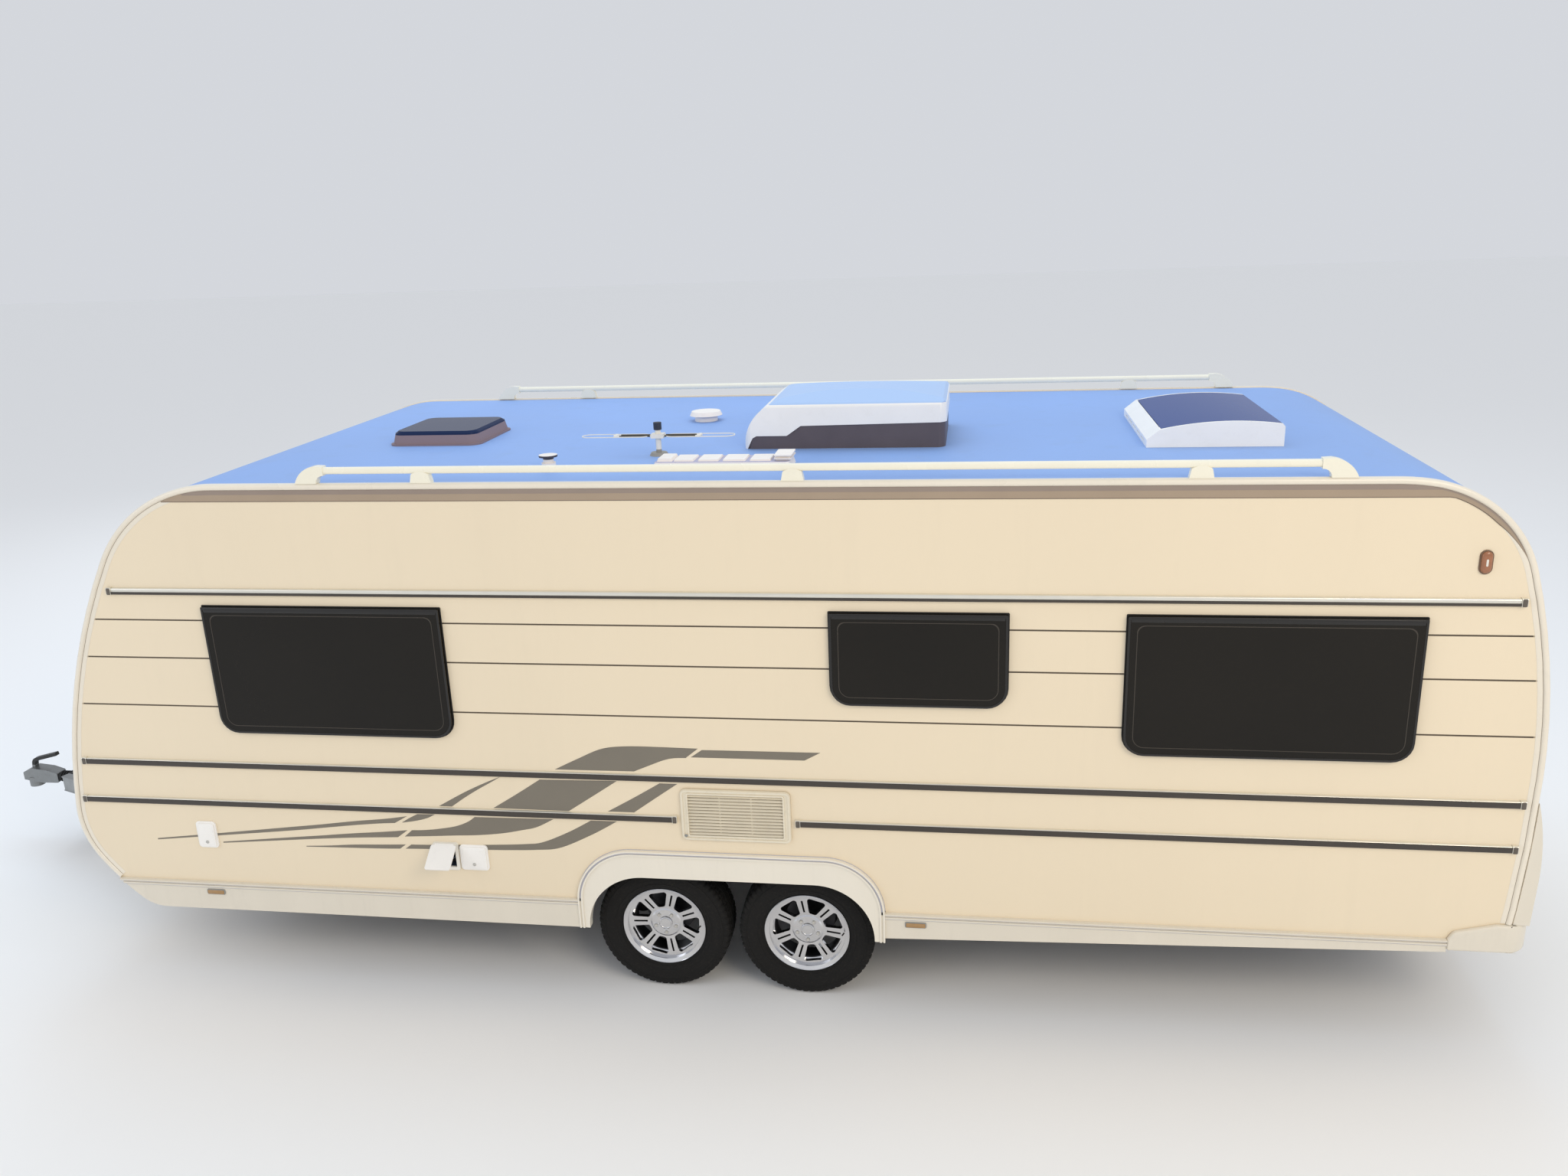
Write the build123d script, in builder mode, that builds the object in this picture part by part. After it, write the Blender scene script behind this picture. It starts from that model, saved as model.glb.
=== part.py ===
"""Twin-axle travel caravan, parked on its tyres and its jockey wheel.

X runs rearward, Y to the caravan's right-hand side and Z up from the ground, in mm.
The origin lies on the ground, at the middle of the overall length and width.
"""
import os
from math import asin, cos, degrees, radians, sin

from build123d import *

os.makedirs("parts", exist_ok=True)

# Overall lengths, widths and heights
body_width = 2500
body_length = 6669
drawbar_reach = 1392
bumper_reach = 59
roof_height = 2520
floor_bottom = 470
floor_thickness = 42
wall = 34
skirt_bottom = 370
skirt_top = 520
skirt_thickness = 12
skirt_rise = 90
running_gap = 7

# Side view of the body: arcs up and down from the nose and from the tail
nose_height = 862
nose_radius = 410
nose_turn_up = 6
nose_turn_down = 35
front_radius = 3200
front_turn = 24
chin_radius = 1100
chin_turn = 15
tail_height = 1278
tail_radius = 3000
tail_turn = 17
rear_top_radius = 900
rear_top_turn = 8
tuck_radius = 7000

# Wheels and axles
tyre_radius = 325
tyre_width = 200
rim_radius = 202
rim_width = 166
axle_from_nose = 3273
axle_spacing = 692
track = 2140
arch_half_length = 725
arch_top = 787
arch_corner = 275
arch_inner_half_length = 677
arch_inner_top = 650
arch_thickness = 14
housing_wall = 8
axle_tube_radius = 46
trailing_arm = 165
spindle_radius = 24

# Chassis and drawbar
beam_height = 94
beam_flange = 50
beam_web = 5
beam_y = 780
coupling_height = 430

# Openings in the side walls
window_head = 1957
window_corner = 85
window_overlap = 30
pane_thickness = 20
door_from_nose = 1700
door_width = 600
door_sill = 520
door_head = 2290
door_corner = 90
hatch_from_nose = 4660
hatch_width = 360
hatch_sill = 580
hatch_height = 310
locker_half_width = 640
locker_sill = 560
locker_head = 1000

# Derived places
overall_length = drawbar_reach + body_length + bumper_reach
half_width = body_width / 2
coupling_x = -overall_length / 2
nose_x = coupling_x + drawbar_reach
tail_x = nose_x + body_length
axle_mid_x = nose_x + axle_from_nose
axle_places = [axle_mid_x - axle_spacing / 2, axle_mid_x + axle_spacing / 2]
floor_top = floor_bottom + floor_thickness
inner_y = half_width - wall
beam_bottom = floor_bottom - beam_height


def arc_chain(start, heading, arcs):
    """Draw tangent arcs one after another and return the last one."""
    point = start
    direction = heading
    for radius, turn in arcs:
        arc = JernArc(start=point, tangent=direction, radius=radius, arc_size=turn)
        point = arc @ 1
        direction = arc % 1
    return arc


def side_profile(inset=0.0):
    """Side view of the body in X and Z, from the roof down to the skirt."""
    nose_end = nose_height + nose_radius * sin(radians(nose_turn_up))
    angle = radians(nose_turn_up + front_turn)
    brow = nose_end + front_radius * (sin(angle) - sin(radians(nose_turn_up)))
    brow_turn = 90 - nose_turn_up - front_turn
    brow_radius = (roof_height - brow) / (1 - sin(angle))
    chin = nose_height - nose_radius * sin(radians(nose_turn_down))
    low_angle = radians(nose_turn_down + chin_turn)
    lip = chin - chin_radius * (sin(low_angle) - sin(radians(nose_turn_down)))
    lip_turn = 90 - nose_turn_down - chin_turn
    lip_radius = (lip - skirt_bottom) / (1 - sin(low_angle))
    shoulder = tail_height + tail_radius * sin(radians(tail_turn))
    top_drop = rear_top_radius * (1 - cos(radians(rear_top_turn)))
    corner_turn = 90 - tail_turn - rear_top_turn
    corner_span = cos(radians(rear_top_turn)) - sin(radians(tail_turn))
    corner_radius = (roof_height - shoulder - top_drop) / corner_span
    tuck_turn = degrees(asin((tail_height - skirt_bottom) / tuck_radius))
    with BuildSketch() as face:
        with BuildLine():
            front_up = arc_chain(
                (nose_x, nose_height),
                (0, 1),
                [(nose_radius, -nose_turn_up), (front_radius, -front_turn), (brow_radius, -brow_turn)],
            )
            front_down = arc_chain(
                (nose_x, nose_height),
                (0, -1),
                [(nose_radius, nose_turn_down), (chin_radius, chin_turn), (lip_radius, lip_turn)],
            )
            rear_up = arc_chain(
                (tail_x, tail_height),
                (0, 1),
                [(tail_radius, tail_turn), (corner_radius, corner_turn), (rear_top_radius, rear_top_turn)],
            )
            rear_down = arc_chain((tail_x, tail_height), (0, -1), [(tuck_radius, -tuck_turn)])
            Line(front_up @ 1, rear_up @ 1)
            Line(front_down @ 1, rear_down @ 1)
        make_face()
        if inset:
            offset(amount=-inset)
    return face.sketch


def front_skin(height):
    """X of the outer skin of the front wall, between nose and brow."""
    low = radians(nose_turn_up)
    start = nose_height + nose_radius * sin(low)
    angle = asin(sin(low) + (height - start) / front_radius)
    return nose_x + nose_radius * (1 - cos(low)) + front_radius * (cos(low) - cos(angle))


def rear_skin(height):
    """X of the outer skin of the rear wall, between bumper and shoulder."""
    radius = tail_radius if height > tail_height else tuck_radius
    angle = asin(abs(height - tail_height) / radius)
    return tail_x - radius * (1 - cos(angle))


brow_height = nose_height + nose_radius * sin(radians(nose_turn_up)) + front_radius * (
    sin(radians(nose_turn_up + front_turn)) - sin(radians(nose_turn_up))
)
shoulder_height = tail_height + tail_radius * sin(radians(tail_turn))


def keep(low, high, front=-overall_length, rear=overall_length):
    """Keep the part of the sketch between two heights and two stations."""
    with Locations(((front + rear) / 2, (low + high) / 2)):
        Rectangle(rear - front, high - low, mode=Mode.INTERSECT)


def arch_face(half_length, top, corner, bottom):
    """Wheel arch in side view: upright legs and a rounded top."""
    low_front = (axle_mid_x - half_length, bottom)
    low_rear = (axle_mid_x + half_length, bottom)
    with BuildSketch() as face:
        with BuildLine():
            FilletPolyline(
                low_front,
                (axle_mid_x - half_length, top),
                (axle_mid_x + half_length, top),
                low_rear,
                radius=corner,
            )
            Line(low_rear, low_front)
        make_face()
    return face.sketch


def window_face(front, width, sill, head, corner, inset=0.0):
    """Window in side view: square top corners and rounded lower ones."""
    left = front + inset
    right = front + width - inset
    top = head - inset
    low = sill + inset
    with BuildSketch() as face:
        with BuildLine():
            FilletPolyline(
                (left, top), (left, low), (right, low), (right, top), radius=corner
            )
            Line((right, top), (left, top))
        make_face()
    return face.sketch


# Windows of the two sides: front edge from the nose, width, sill height
left_windows = [(880, 1150, 1335), (3779, 751, 1540), (5013, 1151, 1340)]
right_windows = [(500, 1000, 1335), (3779, 751, 1540), (5013, 1151, 1340)]
# Windows across the front: middle in Y, width
front_windows = [(-880, 440), (0, 1180), (880, 440)]
front_sill = 1335
rear_window_width = 1500
rear_window_sill = 1380
# Small fittings of the left-hand side: front edge from the nose, width, low, high
inlet_box = (1852, 126, 646, 790)
filler_box = (1984, 139, 649, 781)
small_box = (633, 103, 711, 851)
grille_front = 3076
grille_width = 506
grille_low = 857
grille_high = 1111
# Grooves pressed in the side sheet, and long bright rails: heights
groove_heights = [1887, 1700, 1458]
groove_width = 7
groove_depth = 3
top_rail_height = 2028
middle_rail_height = 1160
low_rail_height = 956


def wheel_opening(grow):
    """Opening of the side wall over the wheels, hidden behind the spat's edge."""
    return arch_face(
        arch_inner_half_length + grow, arch_inner_top + grow, arch_corner + grow, skirt_bottom
    )


# Side walls, each one sandwich panel with its windows and wheel opening cut
def side_wall(windows):
    with BuildSketch(Plane.XZ.offset(half_width)) as face:
        add(side_profile())
        keep(floor_bottom, roof_height)
        add(wheel_opening(14), mode=Mode.SUBTRACT)
        for front, width, sill in windows:
            add(
                window_face(nose_x + front, width, sill, window_head, window_corner - 20, window_overlap),
                mode=Mode.SUBTRACT,
            )
    extrude(face.sketch, amount=-wall)


def side_grooves():
    for height in groove_heights:
        with BuildSketch(Plane.XZ.offset(half_width)) as face:
            with Locations(((nose_x + tail_x) / 2, height)):
                Rectangle(body_length, groove_width)
        extrude(face.sketch, amount=-groove_depth, mode=Mode.SUBTRACT)


def cut_through(front, width, low, high, corner=0.0, depth=wall):
    """Cut a rounded rectangle into the left-hand side wall."""
    with BuildSketch(Plane.XZ.offset(half_width)) as face:
        with Locations((nose_x + front + width / 2, (low + high) / 2)):
            if corner:
                RectangleRounded(width, high - low, corner)
            else:
                Rectangle(width, high - low)
    extrude(face.sketch, amount=-depth, mode=Mode.SUBTRACT)


fitting_edge = 12
with BuildPart() as wall_left:
    side_wall(left_windows)
    side_grooves()
    cut_through(grille_front + 25, grille_width - 50, grille_low + 18, grille_high - 18)
    front, width, low, high = inlet_box
    cut_through(front + fitting_edge, width - 2 * fitting_edge, low + fitting_edge, high - fitting_edge)

# Right-hand wall, with the doorway and the hatch of the cassette locker
hinge_offset = 12
hinge_radius = 8
pin_radius = 3.5
pin_fit = 0.05
knuckle_length = 30
hinge_reach = 26
door_x = nose_x + door_from_nose
door_gap = running_gap
door_axis_x = door_x - 4
door_hinges = [door_sill + 260, (door_sill + door_head) / 2, door_head - 260]
hatch_x = nose_x + hatch_from_nose
hatch_head = hatch_sill + hatch_height
hatch_axis_z = hatch_head + 4
hatch_gap = running_gap + 3
hatch_hinges = [hatch_x + 80, hatch_x + hatch_width - 80]


def knuckle_stack(plane, station, moving):
    """Knuckles of one hinge along the plane's normal; the fixed half also holds the pin."""
    third = knuckle_length / 3
    spans = [(-third / 2 + 0.3, third - 0.6)]
    if not moving:
        spans = [(-knuckle_length / 2, third), (third / 2, third)]
    for start, length in spans:
        with BuildSketch(plane.offset(station + start)) as face:
            Circle(hinge_radius)
            if moving:
                Circle(pin_radius + pin_fit, mode=Mode.SUBTRACT)
        extrude(face.sketch, amount=length)
    if not moving:
        with BuildSketch(plane.offset(station - knuckle_length / 2)) as face:
            Circle(pin_radius)
        extrude(face.sketch, amount=knuckle_length)


door_hinge_plane = Plane(origin=(door_axis_x, half_width + hinge_offset, 0))
hatch_hinge_plane = Plane(
    origin=(0, half_width + hinge_offset, hatch_axis_z), x_dir=(0, 1, 0), z_dir=(1, 0, 0)
)

with BuildPart() as wall_right:
    side_wall(right_windows)
    side_grooves()
    cut_through(door_from_nose, door_width, door_sill, door_head, door_corner)
    cut_through(hatch_from_nose, hatch_width, hatch_sill, hatch_head, 25)
    mirror(about=Plane.XZ, mode=Mode.REPLACE)
    third = knuckle_length / 3
    for station in door_hinges:
        knuckle_stack(door_hinge_plane, station, moving=False)
        with Locations(
            (door_axis_x - hinge_reach / 2, half_width + 5, station - third),
            (door_axis_x - hinge_reach / 2, half_width + 5, station + third),
        ):
            Box(hinge_reach, 10, third)
    for station in hatch_hinges:
        knuckle_stack(hatch_hinge_plane, station, moving=False)
        with Locations(
            (station - third, half_width + 5, hatch_axis_z + hinge_reach / 2),
            (station + third, half_width + 5, hatch_axis_z + hinge_reach / 2),
        ):
            Box(third, 10, hinge_reach)

# Entry door, a panel as thick as the wall, hinged at its front edge
door_window_width = 340
door_window_low = 1330
door_window_high = 1900
with BuildPart() as entry_door:
    with BuildSketch(Plane.XZ.offset(-inner_y)):
        with Locations((door_x + door_width / 2, (door_sill + door_head) / 2)):
            RectangleRounded(
                door_width - 2 * door_gap, door_head - door_sill - 2 * door_gap, door_corner - door_gap
            )
        with Locations((door_x + door_width / 2, (door_window_low + door_window_high) / 2)):
            RectangleRounded(
                door_window_width, door_window_high - door_window_low, 40, mode=Mode.SUBTRACT
            )
    extrude(amount=-wall)
    for station in door_hinges:
        knuckle_stack(door_hinge_plane, station, moving=True)
        with Locations((door_axis_x + 5 + 28, half_width + 5, station)):
            Box(56, 10, knuckle_length / 3 - 0.6)
    # Grip of the lock, at the rear edge
    with Locations((door_x + door_width - 62, half_width + 9, 1110)):
        Box(52, 18, 130)

with BuildPart() as door_window:
    with BuildSketch(Plane.XZ.offset(-half_width)):
        with Locations((door_x + door_width / 2, (door_window_low + door_window_high) / 2)):
            RectangleRounded(
                door_window_width + 50, door_window_high - door_window_low + 50, 55
            )
    extrude(amount=-14)
    with BuildSketch(Plane.XZ.offset(-half_width)):
        with Locations((door_x + door_width / 2, (door_window_low + door_window_high) / 2)):
            RectangleRounded(
                door_window_width - 0.6, door_window_high - door_window_low - 0.6, 39.7
            )
    extrude(amount=8)

# Hatch of the cassette locker, hinged at its top edge
with BuildPart() as cassette_hatch:
    with BuildSketch(Plane.XZ.offset(-inner_y)):
        with Locations((hatch_x + hatch_width / 2, (hatch_sill + hatch_head) / 2)):
            RectangleRounded(hatch_width - 2 * hatch_gap, hatch_height - 2 * hatch_gap, 18)
    extrude(amount=-wall)
    for station in hatch_hinges:
        knuckle_stack(hatch_hinge_plane, station, moving=True)
        with Locations((station, half_width + 5, hatch_axis_z - 5 - 22)):
            Box(knuckle_length / 3 - 0.6, 10, 44)
    with Locations((hatch_x + hatch_width / 2, half_width + 4, hatch_sill + 40)):
        Cylinder(14, 8, rotation=(90, 0, 0))

# Front wall: one moulding between the side walls, with its windows and the gas locker's opening
locker_axis_x = front_skin(locker_head) - hinge_offset
locker_axis_z = locker_head + 4
locker_hinges = [-480, 0, 480]
locker_hinge_plane = Plane(origin=(locker_axis_x, 0, locker_axis_z), x_dir=(1, 0, 0), z_dir=(0, 1, 0))


def shell_ring(outer, inner):
    """Ring between two insets of the side view."""
    add(side_profile(outer))
    add(side_profile(inner), mode=Mode.SUBTRACT)


with BuildPart() as wall_front:
    with BuildSketch(Plane.XZ.offset(inner_y)):
        shell_ring(0, wall)
        keep(floor_bottom, brow_height, rear=nose_x + 1500)
    extrude(amount=-2 * inner_y)
    with BuildSketch(Plane.YZ.offset(nose_x - 100)):
        for middle, width in front_windows:
            with Locations((middle, (front_sill + window_head) / 2)):
                RectangleRounded(
                    width - 2 * window_overlap, window_head - front_sill - 2 * window_overlap, 50
                )
        with Locations((0, (locker_sill + locker_head) / 2)):
            Rectangle(2 * locker_half_width, locker_head - locker_sill)
    extrude(amount=900, mode=Mode.SUBTRACT)
    for station in locker_hinges:
        knuckle_stack(locker_hinge_plane, station, moving=False)
        with Locations(
            (locker_axis_x + 9, station - third, locker_axis_z + hinge_reach / 2),
            (locker_axis_x + 9, station + third, locker_axis_z + hinge_reach / 2),
        ):
            Box(14, third, hinge_reach)

# Lid of the gas locker, following the curved front
locker_gap = 18
with BuildPart() as gas_locker_lid:
    with BuildSketch(Plane.XZ.offset(locker_half_width - running_gap)):
        shell_ring(0, wall)
        keep(locker_sill + locker_gap, locker_head - running_gap, rear=nose_x + 400)
    extrude(amount=-2 * (locker_half_width - running_gap))
    for station in locker_hinges:
        knuckle_stack(locker_hinge_plane, station, moving=True)
        with Locations((locker_axis_x + 8, station, locker_axis_z - 5 - 17)):
            Box(12, third - 0.6, 34)
    with Locations((front_skin(locker_head) - 8, -380, 905), (front_skin(locker_head) - 8, 380, 905)):
        Box(44, 90, 36)

# Lockers behind the lid and the hatch: trays open to the outside
tray = 8
locker_depth = 520
with BuildPart() as locker_boxes:
    with BuildSketch(Plane.XZ.offset(locker_half_width + tray + 10)):
        add(side_profile(wall))
        keep(floor_bottom, locker_head + 50, rear=nose_x + locker_depth)
    extrude(amount=-2 * (locker_half_width + tray + 10))
    with BuildSketch(Plane.XZ.offset(locker_half_width + 10)):
        with Locations((nose_x + locker_depth / 2 - tray, (floor_bottom + locker_head + 50) / 2)):
            Rectangle(locker_depth, locker_head + 50 - floor_bottom - 2 * tray)
    extrude(amount=-2 * (locker_half_width + 10), mode=Mode.SUBTRACT)
    cassette_depth = 430
    with Locations((hatch_x + hatch_width / 2, inner_y - cassette_depth / 2, (hatch_sill + hatch_head) / 2)):
        Box(hatch_width + 40, cassette_depth, hatch_height + 40)
    with Locations(
        (hatch_x + hatch_width / 2, inner_y - (cassette_depth - tray) / 2, (hatch_sill + hatch_head) / 2)
    ):
        Box(hatch_width + 40 - 2 * tray, cassette_depth - tray, hatch_height + 40 - 2 * tray, mode=Mode.SUBTRACT)

# Rear wall, with its window
with BuildPart() as wall_rear:
    with BuildSketch(Plane.XZ.offset(inner_y)):
        shell_ring(0, wall)
        keep(floor_bottom, shoulder_height, front=tail_x - 1000)
    extrude(amount=-2 * inner_y)
    with BuildSketch(Plane.YZ.offset(tail_x - 800)):
        with Locations((0, (rear_window_sill + window_head) / 2)):
            RectangleRounded(
                rear_window_width - 2 * window_overlap,
                window_head - rear_window_sill - 2 * window_overlap,
                50,
            )
    extrude(amount=900, mode=Mode.SUBTRACT)

# Roof panel, from brow to shoulder, with the apertures of the rooflights
front_light = (nose_x + 1672, -85, 490, 500)
rear_light = (nose_x + 5438, -127, 587, 877)
light_border = 60
with BuildPart() as roof_panel:
    with BuildSketch(Plane.XZ.offset(inner_y)):
        shell_ring(0, wall)
        keep(brow_height, roof_height, rear=(nose_x + tail_x) / 2)
    extrude(amount=-2 * inner_y)
    with BuildSketch(Plane.XZ.offset(inner_y)):
        shell_ring(0, wall)
        keep(shoulder_height, roof_height, front=(nose_x + tail_x) / 2)
    extrude(amount=-2 * inner_y)
    with BuildSketch(Plane.XY.offset(roof_height)):
        for x, y, length, width in [front_light, rear_light]:
            with Locations((x, y)):
                Rectangle(length - 2 * light_border, width - 2 * light_border)
    extrude(amount=-wall, mode=Mode.SUBTRACT)

# Floor panel between the walls, cut away over the wheels
housing_half_length = arch_inner_half_length + 14 + 15
housing_inner_y = 895
housing_top = 700
with BuildPart() as floor_panel:
    with BuildSketch(Plane.XZ.offset(inner_y)):
        add(side_profile(wall))
        keep(floor_bottom, floor_top)
    extrude(amount=-2 * inner_y)
    wheel_gap_width = inner_y - housing_inner_y
    with Locations(
        (axle_mid_x, -inner_y + wheel_gap_width / 2, floor_bottom + floor_thickness / 2),
        (axle_mid_x, inner_y - wheel_gap_width / 2, floor_bottom + floor_thickness / 2),
    ):
        Box(2 * housing_half_length, wheel_gap_width, floor_thickness, mode=Mode.SUBTRACT)
    # Notch for the tray of the gas locker
    with Locations((nose_x, 0, floor_bottom + floor_thickness / 2)):
        Box(2 * locker_depth, 2 * (locker_half_width + tray + 10), floor_thickness, mode=Mode.SUBTRACT)

# Wheel housings: boxes over the wheels, open below and to the outside
with BuildPart() as wheel_housings:
    with BuildSketch(Plane.XZ.offset(inner_y)):
        add(arch_face(housing_half_length, housing_top, 200, floor_bottom))
    extrude(amount=-wheel_gap_width)
    with BuildSketch(Plane.XZ.offset(inner_y)):
        add(
            arch_face(
                housing_half_length - housing_wall,
                housing_top - housing_wall,
                200 - housing_wall,
                floor_bottom,
            )
        )
    extrude(amount=-(wheel_gap_width - housing_wall), mode=Mode.SUBTRACT)
    mirror(about=Plane.XZ)

# Edge trims: an angle profile that follows the side wall's edge
bumper_front = tail_x - 278
bumper_low = 470
bumper_high = 600
bumper_side = 22
trim_width = 42
trim_proud = 6
trim_return = 24
with BuildPart() as edge_trims:
    with BuildSketch(Plane.XZ.offset(half_width + trim_proud)):
        add(side_profile(-trim_proud))
        keep(skirt_top + 0.5, roof_height + trim_proud)
        with Locations((tail_x, bumper_high)):
            Rectangle(800, 300, align=(Align.CENTER, Align.MAX), mode=Mode.SUBTRACT)
    extrude(amount=-(trim_proud + trim_return))
    with BuildSketch(Plane.XZ.offset(half_width + trim_proud)):
        add(side_profile(trim_width))
        with Locations(((nose_x + tail_x) / 2, skirt_top)):
            Rectangle(body_length - 2 * trim_width, 300)
    extrude(amount=-trim_proud, mode=Mode.SUBTRACT)
    with BuildSketch(Plane.XZ.offset(half_width)):
        add(side_profile())
    extrude(amount=-trim_return, mode=Mode.SUBTRACT)
    mirror(about=Plane.XZ)

# Rear bumper, wrapped round the rear corners
with BuildPart() as rear_bumper:
    with BuildSketch(Plane.XY.offset(bumper_low)):
        with Locations(((bumper_front + overall_length / 2) / 2, 0)):
            Rectangle(overall_length / 2 - bumper_front, body_width + 2 * bumper_side)
        fillet(vertices().group_by(Axis.X)[-1], radius=110)
        with Locations(((bumper_front + tail_x - 60) / 2, 0)):
            Rectangle(tail_x - 60 - bumper_front, body_width, mode=Mode.SUBTRACT)
    extrude(amount=bumper_high - bumper_low)
    with BuildSketch(Plane.XZ.offset(half_width)):
        add(side_profile())
    extrude(amount=-body_width, mode=Mode.SUBTRACT)
    # Its top edge falls towards the front end
    with BuildSketch(Plane.XZ.offset(half_width + bumper_side)):
        with BuildLine():
            Polyline(
                (bumper_front - 10, skirt_top + 6),
                (bumper_front, skirt_top + 6),
                (bumper_front + 19, skirt_top + 39),
                (tail_x - 92, bumper_high),
                (tail_x - 92, bumper_high + 10),
                (bumper_front - 10, bumper_high + 10),
                close=True,
            )
        make_face()
    extrude(amount=-(body_width + 2 * bumper_side), mode=Mode.SUBTRACT)

# Skirts along both sides, with two pressed ridges
ridge_height = 8
ridge_proud = 6
ridge_levels = [skirt_top - 6, skirt_top - 22]
with BuildPart() as skirts:
    arch_front = axle_mid_x - arch_half_length
    arch_rear = axle_mid_x + arch_half_length
    with BuildSketch(Plane.XZ.offset(half_width + skirt_thickness)):
        add(side_profile())
        keep(skirt_bottom, skirt_top, front=nose_x, rear=arch_front)
    extrude(amount=-skirt_thickness)
    with BuildSketch(Plane.XZ.offset(half_width + skirt_thickness)):
        with BuildLine():
            Polyline(
                (arch_rear, skirt_bottom + 20),
                (bumper_front, skirt_bottom + skirt_rise),
                (bumper_front, skirt_top),
                (arch_rear, skirt_top),
                close=True,
            )
        make_face()
    extrude(amount=-skirt_thickness)
    # Return of the front corner, under the front wall
    with BuildSketch(Plane.XZ.offset(half_width)):
        shell_ring(0, skirt_thickness)
        keep(skirt_bottom, floor_bottom, rear=nose_x + 1000)
    extrude(amount=-150)
    for level in ridge_levels:
        with BuildSketch(Plane.XZ.offset(half_width + skirt_thickness + ridge_proud)):
            add(side_profile())
            keep(level - ridge_height / 2, level + ridge_height / 2, front=nose_x, rear=arch_front)
            with Locations(((arch_rear + bumper_front) / 2, level)):
                Rectangle(bumper_front - arch_rear, ridge_height)
        extrude(amount=-ridge_proud)
    mirror(about=Plane.XZ)

# Wheel arch spats: broad flanges with a double raised edge
spat_lip = 8
spat_return = 26
with BuildPart() as wheel_arch_spats:
    with BuildSketch(Plane.XZ.offset(half_width + arch_thickness)):
        add(arch_face(arch_half_length, arch_top, arch_corner, skirt_bottom))
        add(wheel_opening(0), mode=Mode.SUBTRACT)
    extrude(amount=-arch_thickness)
    for inner in [0, 16]:
        with BuildSketch(Plane.XZ.offset(half_width + arch_thickness + ridge_proud)):
            add(arch_face(arch_half_length - inner, arch_top - inner, arch_corner - inner, skirt_bottom))
            add(
                arch_face(
                    arch_half_length - inner - spat_lip,
                    arch_top - inner - spat_lip,
                    arch_corner - inner - spat_lip,
                    skirt_bottom,
                ),
                mode=Mode.SUBTRACT,
            )
        extrude(amount=-ridge_proud)
    # Return of the inner edge, into the opening
    with BuildSketch(Plane.XZ.offset(half_width)):
        add(wheel_opening(6))
        add(wheel_opening(0), mode=Mode.SUBTRACT)
        keep(skirt_bottom, roof_height)
    extrude(amount=-spat_return)
    mirror(about=Plane.XZ)

# Window panes: dark acrylic, standing proud of the wall
with BuildPart() as windows:
    for side, table in [(-1, left_windows), (1, right_windows)]:
        plane = Plane.XZ.offset(half_width + pane_thickness if side < 0 else -half_width)
        with BuildSketch(plane):
            for front, width, sill in table:
                add(window_face(nose_x + front, width, sill, window_head, window_corner))
        extrude(amount=-pane_thickness)
    with BuildSketch(Plane.XZ.offset(inner_y)) as front_skin_ring:
        shell_ring(-pane_thickness, 0)
        keep(front_sill, window_head, rear=nose_x + 1000)
    with BuildSketch(Plane.XZ.offset(inner_y)) as rear_skin_ring:
        shell_ring(-pane_thickness, 0)
        keep(rear_window_sill, window_head, front=tail_x - 600)
    for middle, width in front_windows:
        extrude(
            front_skin_ring.sketch.moved(Location((0, inner_y + middle - width / 2, 0))),
            amount=-width,
        )
    extrude(
        rear_skin_ring.sketch.moved(Location((0, inner_y - rear_window_width / 2, 0))),
        amount=-rear_window_width,
    )

# Long bright rails of the sides: a rounded strip with end caps
rail_height = 34
rail_depth = 14
cap_length = 22
# Rails of a side: front end and rear end from the nose, height
left_rails = [
    (416, 6516, top_rail_height),
    (96, 6622, middle_rail_height),
    (56, grille_front - 20, low_rail_height),
    (grille_front + grille_width + 20, 6616, low_rail_height),
]
door_rear = door_from_nose + door_width
right_rails = [
    (416, door_from_nose - 40, top_rail_height),
    (door_rear + 12, 6516, top_rail_height),
    (96, door_from_nose - 40, middle_rail_height),
    (door_rear + 12, 6622, middle_rail_height),
    (56, door_from_nose - 40, low_rail_height),
    (door_rear + 12, 6616, low_rail_height),
]


channel_height = 12
channel_depth = 2
cap_over = 3


def rail_section(station, side, over):
    """Section of a rail across the wall, flat on the wall and rounded outside."""
    inner = side * half_width
    outer = side * (half_width + rail_depth + over)
    half = rail_height / 2 + over
    with BuildSketch(Plane.YZ.offset(station)) as face:
        with BuildLine():
            FilletPolyline((inner, -half), (outer, -half + 3), (outer, half - 3), (inner, half), radius=7)
            Line((inner, half), (inner, -half))
        make_face()
    return face.sketch


def rail_strips(rails, side):
    """Rails of one side, each a channelled strip between two end caps."""
    for front, rear, height in rails:
        up = Location((0, 0, height))
        extrude(rail_section(nose_x + front + 10, side, 0).moved(up), amount=rear - front - 20)
        with Locations((nose_x + (front + rear) / 2, side * (half_width + rail_depth), height)):
            Box(rear - front, 2 * channel_depth, channel_height, mode=Mode.SUBTRACT)
        for start in [front, rear - cap_length]:
            extrude(rail_section(nose_x + start, side, cap_over).moved(up), amount=cap_length)


with BuildPart() as decor_rails:
    rail_strips(left_rails, -1)
    rail_strips(right_rails, 1)

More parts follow.
